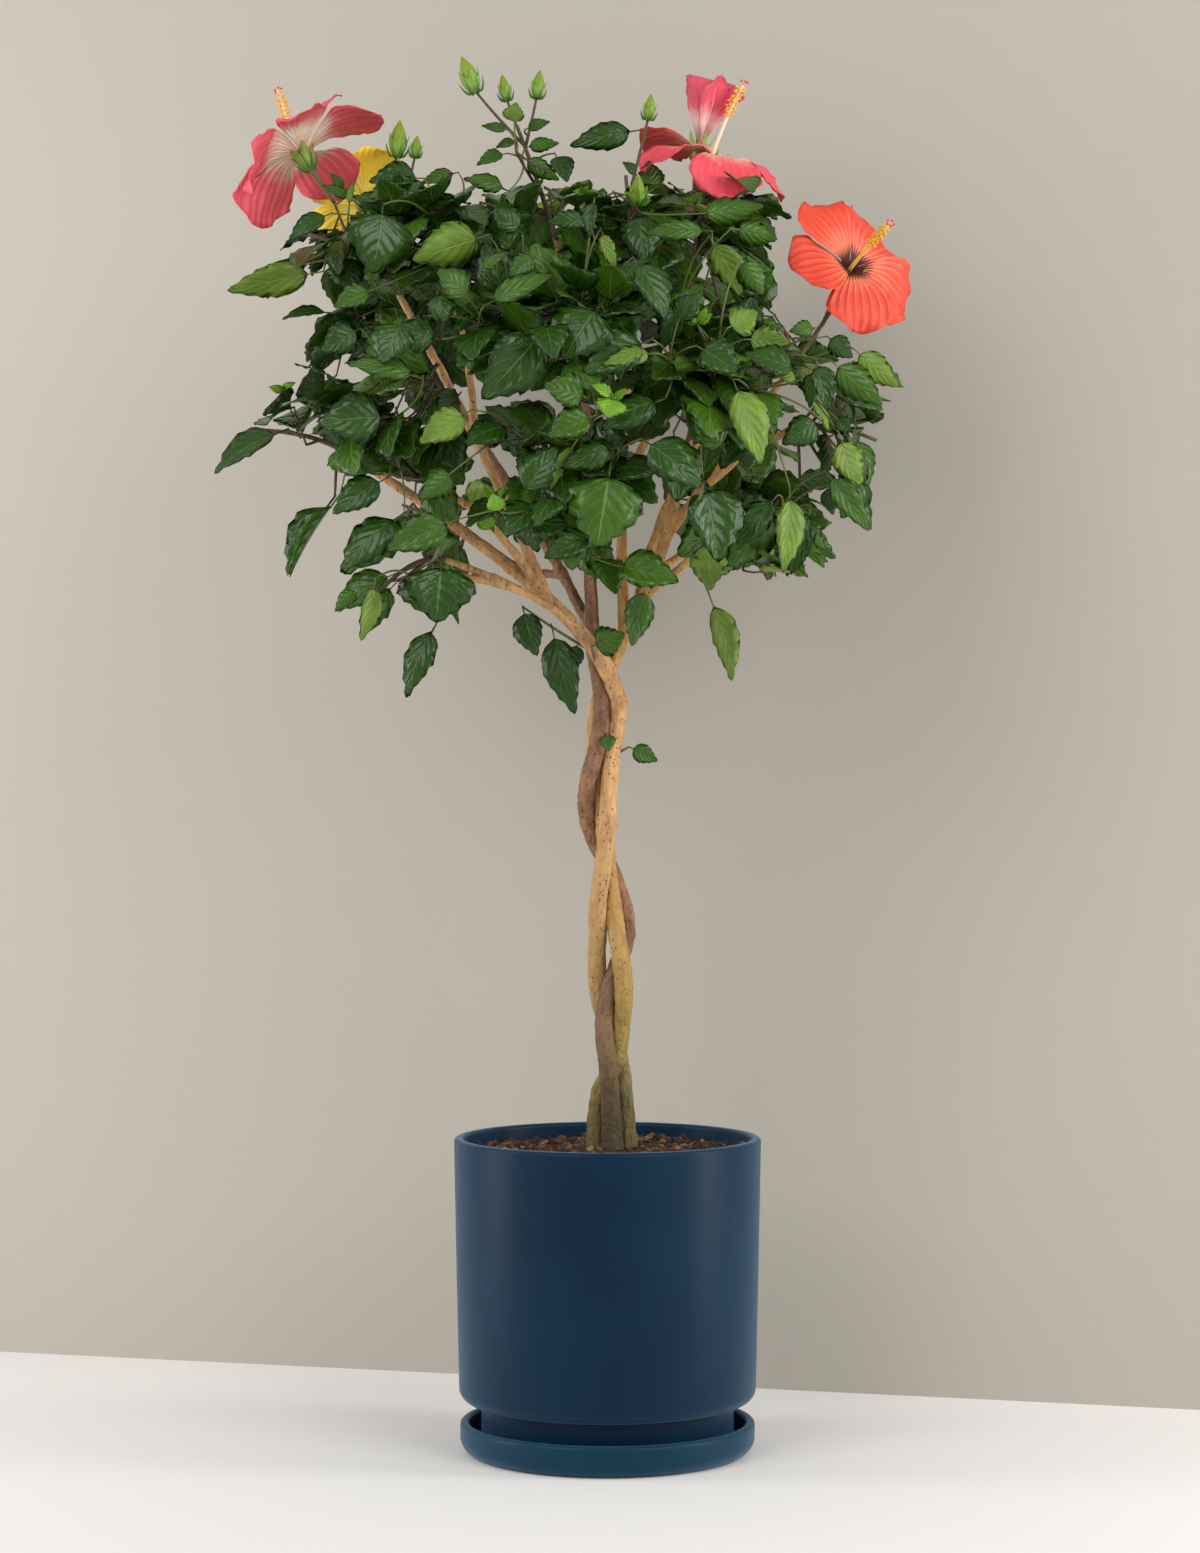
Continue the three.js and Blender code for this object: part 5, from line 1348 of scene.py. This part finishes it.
def model_petal(bloom, count, ripple, finish):
    """One petal in the flower's own frame, its face up: a sheet that is drawn out along the
    petal's rise, rounded at its end, cupped, ruffled at its margin and given its thickness."""
    rows, columns = 22, 14
    bpy.ops.object.select_all(action="DESELECT")
    bpy.ops.mesh.primitive_grid_add(x_subdivisions=rows, y_subdivisions=columns, size=1)
    petal = bpy.context.object
    length = bloom["petal"]
    droop = bloom.get("droops", (0, 0, 0, 0, 0))[count]
    first = math.radians(bloom["lean"][0] + 0.3 * droop)
    last = math.radians(bloom["lean"][1] + droop)
    bend = Vector((math.sin(first), math.cos(first))) * (0.5 * length)
    end = Vector((math.sin(last), math.cos(last))) * (0.95 * length)
    closed = bloom.get("closed")
    phase = [ripple() * 6.28 for _ in range(4)]
    twist = 0.16 if closed is None else 0.3
    turn = 2 * math.pi * count / 5
    for corner in petal.data.vertices:
        across = corner.co.y * 2
        reach = corner.co.x + 0.5
        along = reach * (1 - 0.2 * reach ** 3 * across ** 2)
        middle = 2 * along * (1 - along) * bend + along ** 2 * end
        slope = (2 * (1 - 2 * along) * bend + 2 * along * end).normalized()
        fullness = 0.09 + bloom["fullness"] * math.sin(min(1, along / 0.78) * math.pi / 2) ** 1.6
        fullness -= 0.2 * max(0, (along - 0.78) / 0.22) ** 2
        aside = across * 0.5 * fullness * length * (0.6 if closed else 1)
        edge = max(abs(across) ** 2.5 * along ** 1.2, reach ** 7)
        wave = math.sin(9 * along + 3 * across + phase[0])
        wave += 0.6 * math.sin(17 * along - 5 * across + phase[1])
        wave += 0.35 * math.sin(26 * reach + 11 * across + phase[2])
        lift = 0.08 * abs(across) ** 1.6 * along + 0.055 * wave * edge * (0.6 if closed else 1)
        crimp = 0.012 * math.sin(14 * across + phase[3]) * along
        lift += twist * across * along * (1 - 0.4 * along) + crimp
        if closed:
            lift += 0.16 * math.sin(2.4 * across + phase[0]) * along
        lift *= length * 0.8
        out = middle.x - lift * slope.y + 3 * MM
        corner.co = (out * math.cos(turn) - aside * math.sin(turn),
                     out * math.sin(turn) + aside * math.cos(turn),
                     middle.y + lift * slope.x)
    petal.data.materials.append(finish)
    select_only(petal)
    apply_modifier(petal, "SOLIDIFY", thickness=0.5 * MM, offset=0)
    bpy.ops.object.shade_smooth()
    return petal


def face_bloom(piece, bloom):
    """Turns a piece from the flower's own frame to its place on the plant."""
    piece.rotation_mode = "QUATERNION"
    piece.rotation_quaternion = UP.rotation_difference(bloom["face"])
    piece.location = bloom["throat"]
    select_only(piece)
    bpy.ops.object.transform_apply(location=True, rotation=True)


def chart_lengthwise(piece, start, length):
    """A UV map that runs up a turned piece and round it."""
    chart = piece.data.uv_layers.new(name="UVMap")
    for loop in piece.data.loops:
        spot = piece.data.vertices[loop.vertex_index].co
        turn = math.atan2(spot.y, spot.x) / 2 / math.pi
        chart.data[loop.index].uv = ((spot.z - start) / length, 0.5 + turn)


def model_calyx(height, radius, points, depth, flare):
    """Five pointed lobes round a cup, from a turned sheet whose top is drawn out to points."""
    levels, sides = 9, 40
    corners = []
    for level in range(levels + 1):
        for step in range(sides):
            angle = 2 * math.pi * step / sides
            beat = abs(step * 5 / sides % 1 - 0.5) * 2
            rise = level / levels
            if rise > points:
                rise = points + (rise - points) * (1 - 0.85 * (1 - beat) ** 0.62)
            out = radius * (math.sin(min(1, 0.25 + rise * 1.5) * math.pi / 2) + flare * rise ** 2)
            corners.append((out * math.cos(angle), out * math.sin(angle), depth + height * rise))
    faces = band_faces(0, levels, sides) + [list(reversed(range(sides)))]
    calyx = mesh_piece("calyx", corners, faces, calyx_green)
    chart_lengthwise(calyx, depth, height)
    select_only(calyx)
    apply_modifier(calyx, "SOLIDIFY", thickness=0.6 * MM, offset=-1)
    return calyx


calyx_green = petal_finish("calyx_green", paint(120, 156, 50), paint(146, 178, 72), paint(130, 164, 64),
                           paint(160, 190, 88), paint(96, 136, 44))
bract_green = start_material("bract_green", paint(74, 116, 44), 0.5)[0]
column_cream = start_material("column_cream", paint(240, 208, 178), 0.5)[0]
column_yellow = start_material("column_yellow", paint(238, 206, 84), 0.5)[0]
anther_gold = start_material("anther_gold", paint(236, 176, 44), 0.7)[0]
stigma_red = start_material("stigma_red", paint(214, 72, 46), 0.6)[0]


def curved_bracts(radius, length, base, flare, count):
    """Narrow pointed bracts that stand out round a stalk and curve up."""
    corners, faces = [], []
    for number in range(count):
        angle = 2 * math.pi * number / count
        out = Vector((math.cos(angle), math.sin(angle), 0))
        path = [out * (radius + flare * length * (share - 0.35 * share ** 2))
                + UP * (base + length * share ** 1.5) for share in (0, 0.25, 0.5, 0.75, 1)]
        tube(corners, faces, path, [thick * MM for thick in (0.9, 1.2, 1.0, 0.7, 0.2)], 5)
    return mesh_piece("bracts", corners, faces, bract_green)


def set_beads(name, spots, sizes, finish):
    """Small round grains, modelled once and copied to their places."""
    bpy.ops.object.select_all(action="DESELECT")
    bpy.ops.mesh.primitive_ico_sphere_add(subdivisions=2, radius=1)
    bead = bpy.context.object
    frames = [(spot, *[axis * radius for axis in AXES]) for spot, radius in zip(spots, sizes)]
    beads = join_copies(name, bead, frames, [finish])
    bpy.data.objects.remove(bead)
    return beads


for name, bloom in BLOOMS.items():
    ripple = seeded(len(name) * 31 + 7)
    petal_slot, finish_name, *colours = PETALS[name]
    finish = petal_finish(finish_name, *[paint(*colour) for colour in colours])
    petals = join_pieces(f"{name}_petals", [
        model_petal(bloom, count, ripple, finish) for count in range(5)])
    face_bloom(petals, bloom)
    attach(petals, ROOT)
    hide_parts(name)

    reach = bloom["petal"] * 0.99
    lean = Vector((0.1, 0.06, 0)) * reach

    def column_at(share):
        return lean * share ** 2 + UP * (reach * share - 3 * MM)

    corners, faces = [], []
    tube(corners, faces, [column_at(step / 10) for step in range(11)],
         [(1.9 - 0.09 * step) * MM for step in range(11)], 12)
    anthers, sizes = [], []
    for count in range(54):
        angle = count * GOLDEN_ANGLE
        stand = (2.6 + 2.4 * ripple()) * MM
        centre = column_at(0.56 + 0.4 * count / 54)
        anthers.append(centre + Vector((math.cos(angle), math.sin(angle), 0.45)) * stand)
        sizes.append((0.85 + 0.45 * ripple()) * MM)
        tube(corners, faces, [centre, anthers[-1]], [0.28 * MM, 0.2 * MM], 4)
    head, stigmas = column_at(1), []
    for count in range(5):
        angle = 2 * math.pi * count / 5
        stigmas.append(head + Vector((math.cos(angle) * 3.2, math.sin(angle) * 3.2, 3.5)) * MM)
        tube(corners, faces, [head, stigmas[-1]], [0.5 * MM, 0.35 * MM], 5)
    warm = name in ("bloom_orange", "bloom_yellow")
    column = mesh_piece("column", corners, faces, column_yellow if warm else column_cream)
    grains = set_beads("anthers", anthers, sizes, anther_gold)
    dots = set_beads("stigmas", stigmas, [1.15 * MM] * 5, stigma_red)
    calyx = model_calyx(26 * MM, 7.2 * MM, 0.42, -17 * MM, 0.9)
    bracts = curved_bracts(3.4 * MM, 15 * MM, -17 * MM, 0.75, 7)
    for piece, slot in ((column, "faded_petal"), (grains, "yellow_petal"), (dots, "orange_petal"),
                        (calyx, "young_leaf"), (bracts, "young_leaf")):
        face_bloom(piece, bloom)
        piece.name = f"{name}_{piece.name}"
        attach(piece, ROOT)

    seat = bloom["throat"] - bloom["face"] * 16 * MM
    corners, faces = [], []
    tube(corners, faces, curve_path(bloom["foot"], bloom["foot"].lerp(seat, 0.6), seat, 8),
         [(1.8 + 0.1 * step) * MM for step in range(9)], 8)
    stalk = mesh_piece(f"{name}_stalk", corners, faces, stalk_skin)
    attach(stalk, ROOT)


# Buds: pointed green buds, their petals rolled up tight, in a calyx with curved narrow bracts,
# at the ends of shoots high in the crown.

bud_green = petal_finish("bud_green", paint(122, 146, 30), paint(90, 126, 26), paint(70, 108, 24),
                         paint(150, 168, 50), paint(196, 150, 84))


def model_bud(name, root, heading, length, girth):
    """A bud from rings that swell and close, with the rolled petals' folds winding up it."""
    rings = [(0.05, 0), (0.55, 0.05), (0.9, 0.2), (1, 0.36),
             (0.9, 0.55), (0.62, 0.75), (0.3, 0.9), (0.04, 1)]
    sides = 20
    corners = []
    for share, height in rings:
        for step in range(sides):
            angle = 2 * math.pi * step / sides
            out = share * girth * (1 + 0.07 * math.sin(5 * angle + 5 * height))
            corners.append((out * math.cos(angle), out * math.sin(angle), height * length))
    ends = [list(reversed(range(sides))), [len(corners) - sides + step for step in range(sides)]]
    faces = band_faces(0, len(rings) - 1, sides) + ends
    bud = mesh_piece("bud", corners, faces, bud_green)
    chart_lengthwise(bud, 0, length)
    calyx = model_calyx(0.62 * length, girth * 0.98, 0.5, -0.02 * length, 0.35)
    bracts = curved_bracts(girth * 0.6, 0.36 * length, -0.02 * length, 0.8, 6)
    whole = join_pieces(name, [bud, calyx, bracts])
    face_bloom(whole, dict(face=heading, throat=root))
    return whole


bud_count = 0
for mass in MASSES.values():
    for spot, (long, thick) in zip(mass["buds"], mass.get("bud_sizes", [])):
        shoot = next(s for s in mass["growth"]["shoots"] if s["kind"] == "bud" and s["tip"] == spot)
        heading = ((shoot["tip"] - shoot["root"]).normalized() + UP).normalized()
        bud_count += 1
        bud = model_bud(f"bud_{bud_count}", spot - heading * 2 * MM, heading, long * MM, thick * MM)
        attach(bud, ROOT)


# Stage: a pale matt floor that meets a plain beige wall a little way behind the plant, lit by
# two large soft lights in front and a weaker one low at each side. The wall is see-through from
# behind, so that views from the back show the plant.

def paint_pattern():
    """Paint that drifts a little darker in places, with the roller's grain."""
    group, given, results = pattern_group("paint_drift", ("Paint", "Darker"), ("Grain",))
    where = piece_coordinates(group)
    drifts = remap(group, cloud(group, where, 0.8, 2), 0.3, 0.7)
    group.links.new(blend_colours(group, drifts, given["Paint"], given["Darker"]), results["Color"])
    group.links.new(cloud(group, where, given["Grain"], 2), results["Relief"])
    return group


paint_group = paint_pattern()


def matt_paint(name, colour, grain):
    darker = tuple(value * 0.97 for value in colour)
    material, shader = wear(name, paint_group, 0.85, 0.0002, Paint=colour, Darker=darker, Grain=grain)
    shader.inputs["Specular IOR Level"].default_value = 0.2
    return material


def one_sided(material):
    """Lets light and sight through a sheet's back faces."""
    tree = material.node_tree
    gate = tree.nodes.new("ShaderNodeMixShader")
    clear = tree.nodes.new("ShaderNodeBsdfTransparent")
    facing = tree.nodes.new("ShaderNodeNewGeometry")
    end = tree.nodes["Material Output"]
    tree.links.new(facing.outputs["Backfacing"], gate.inputs["Fac"])
    tree.links.new(tree.nodes["Principled BSDF"].outputs["BSDF"], gate.inputs[1])
    tree.links.new(clear.outputs["BSDF"], gate.inputs[2])
    tree.links.new(gate.outputs["Shader"], end.inputs["Surface"])


def lay_sheet(name, size, location, rotation, finish):
    bpy.ops.mesh.primitive_plane_add(size=1, location=location, rotation=rotation)
    sheet = bpy.context.object
    sheet.name = name
    sheet.scale = size
    bpy.ops.object.transform_apply(location=True, rotation=True, scale=True)
    sheet.data.materials.append(finish)
    return sheet


def soft_light(name, size, watts, location, aim):
    data = bpy.data.lights.new(name, "AREA")
    data.shape = "RECTANGLE"
    data.size, data.size_y = size
    data.energy = watts
    lamp = bpy.data.objects.new(name, data)
    lamp.location = location
    lamp.rotation_euler = (Vector(aim) - Vector(location)).to_track_quat("-Z", "Y").to_euler()
    bpy.context.scene.collection.objects.link(lamp)


floor_paint = matt_paint("floor_paint", paint(228, 226, 223), 40)
lay_sheet("stage_floor", (12, 12, 1), (0, 0, 0), (0, 0, 0), floor_paint)
wall_paint = matt_paint("wall_paint", paint(175, 169, 158), 30)
one_sided(wall_paint)
wall_left, wall_right = Vector((-0.618, 0.513, 0)), Vector((0.56, 0.19, 0))
wall_turn = math.atan2(wall_right.y - wall_left.y, wall_right.x - wall_left.x)
wall_middle = (wall_left + wall_right) / 2 + Vector((0, 0, 2))
lay_sheet("stage_wall", (10, 4, 1), wall_middle, (math.pi / 2, 0, wall_turn), wall_paint)

soft_light("light_front_left", (2.2, 2.2), 54, (-1.9, -2.6, 2.6), (0, 0, 0.8))
soft_light("light_front_right", (2, 2), 55, (2, -2.6, 2.2), (0, 0, 0.8))
soft_light("light_left", (0.6, 1.8), 17, (-1.8, -0.1, 0.7), (0, 0, 0.4))
soft_light("light_right", (0.6, 1.8), 26, (1.8, -0.35, 0.7), (0, 0, 0.4))
world = bpy.data.worlds.new("studio_air")
world.use_nodes = True
world.node_tree.nodes["Background"].inputs["Color"].default_value = (0.96, 0.97, 1, 1)
world.node_tree.nodes["Background"].inputs["Strength"].default_value = 0.5
bpy.context.scene.world = world
bpy.context.scene.view_settings.view_transform = "Standard"

camera_data = bpy.data.cameras.new("photo_camera")
camera_data.sensor_width = 36
camera_data.lens = 79.02
camera = bpy.data.objects.new("photo_camera", camera_data)
camera.location = (-0.0066, -3, 0.593)
camera.rotation_euler = (math.pi / 2, 0, 0)
bpy.context.scene.collection.objects.link(camera)
bpy.context.scene.camera = camera
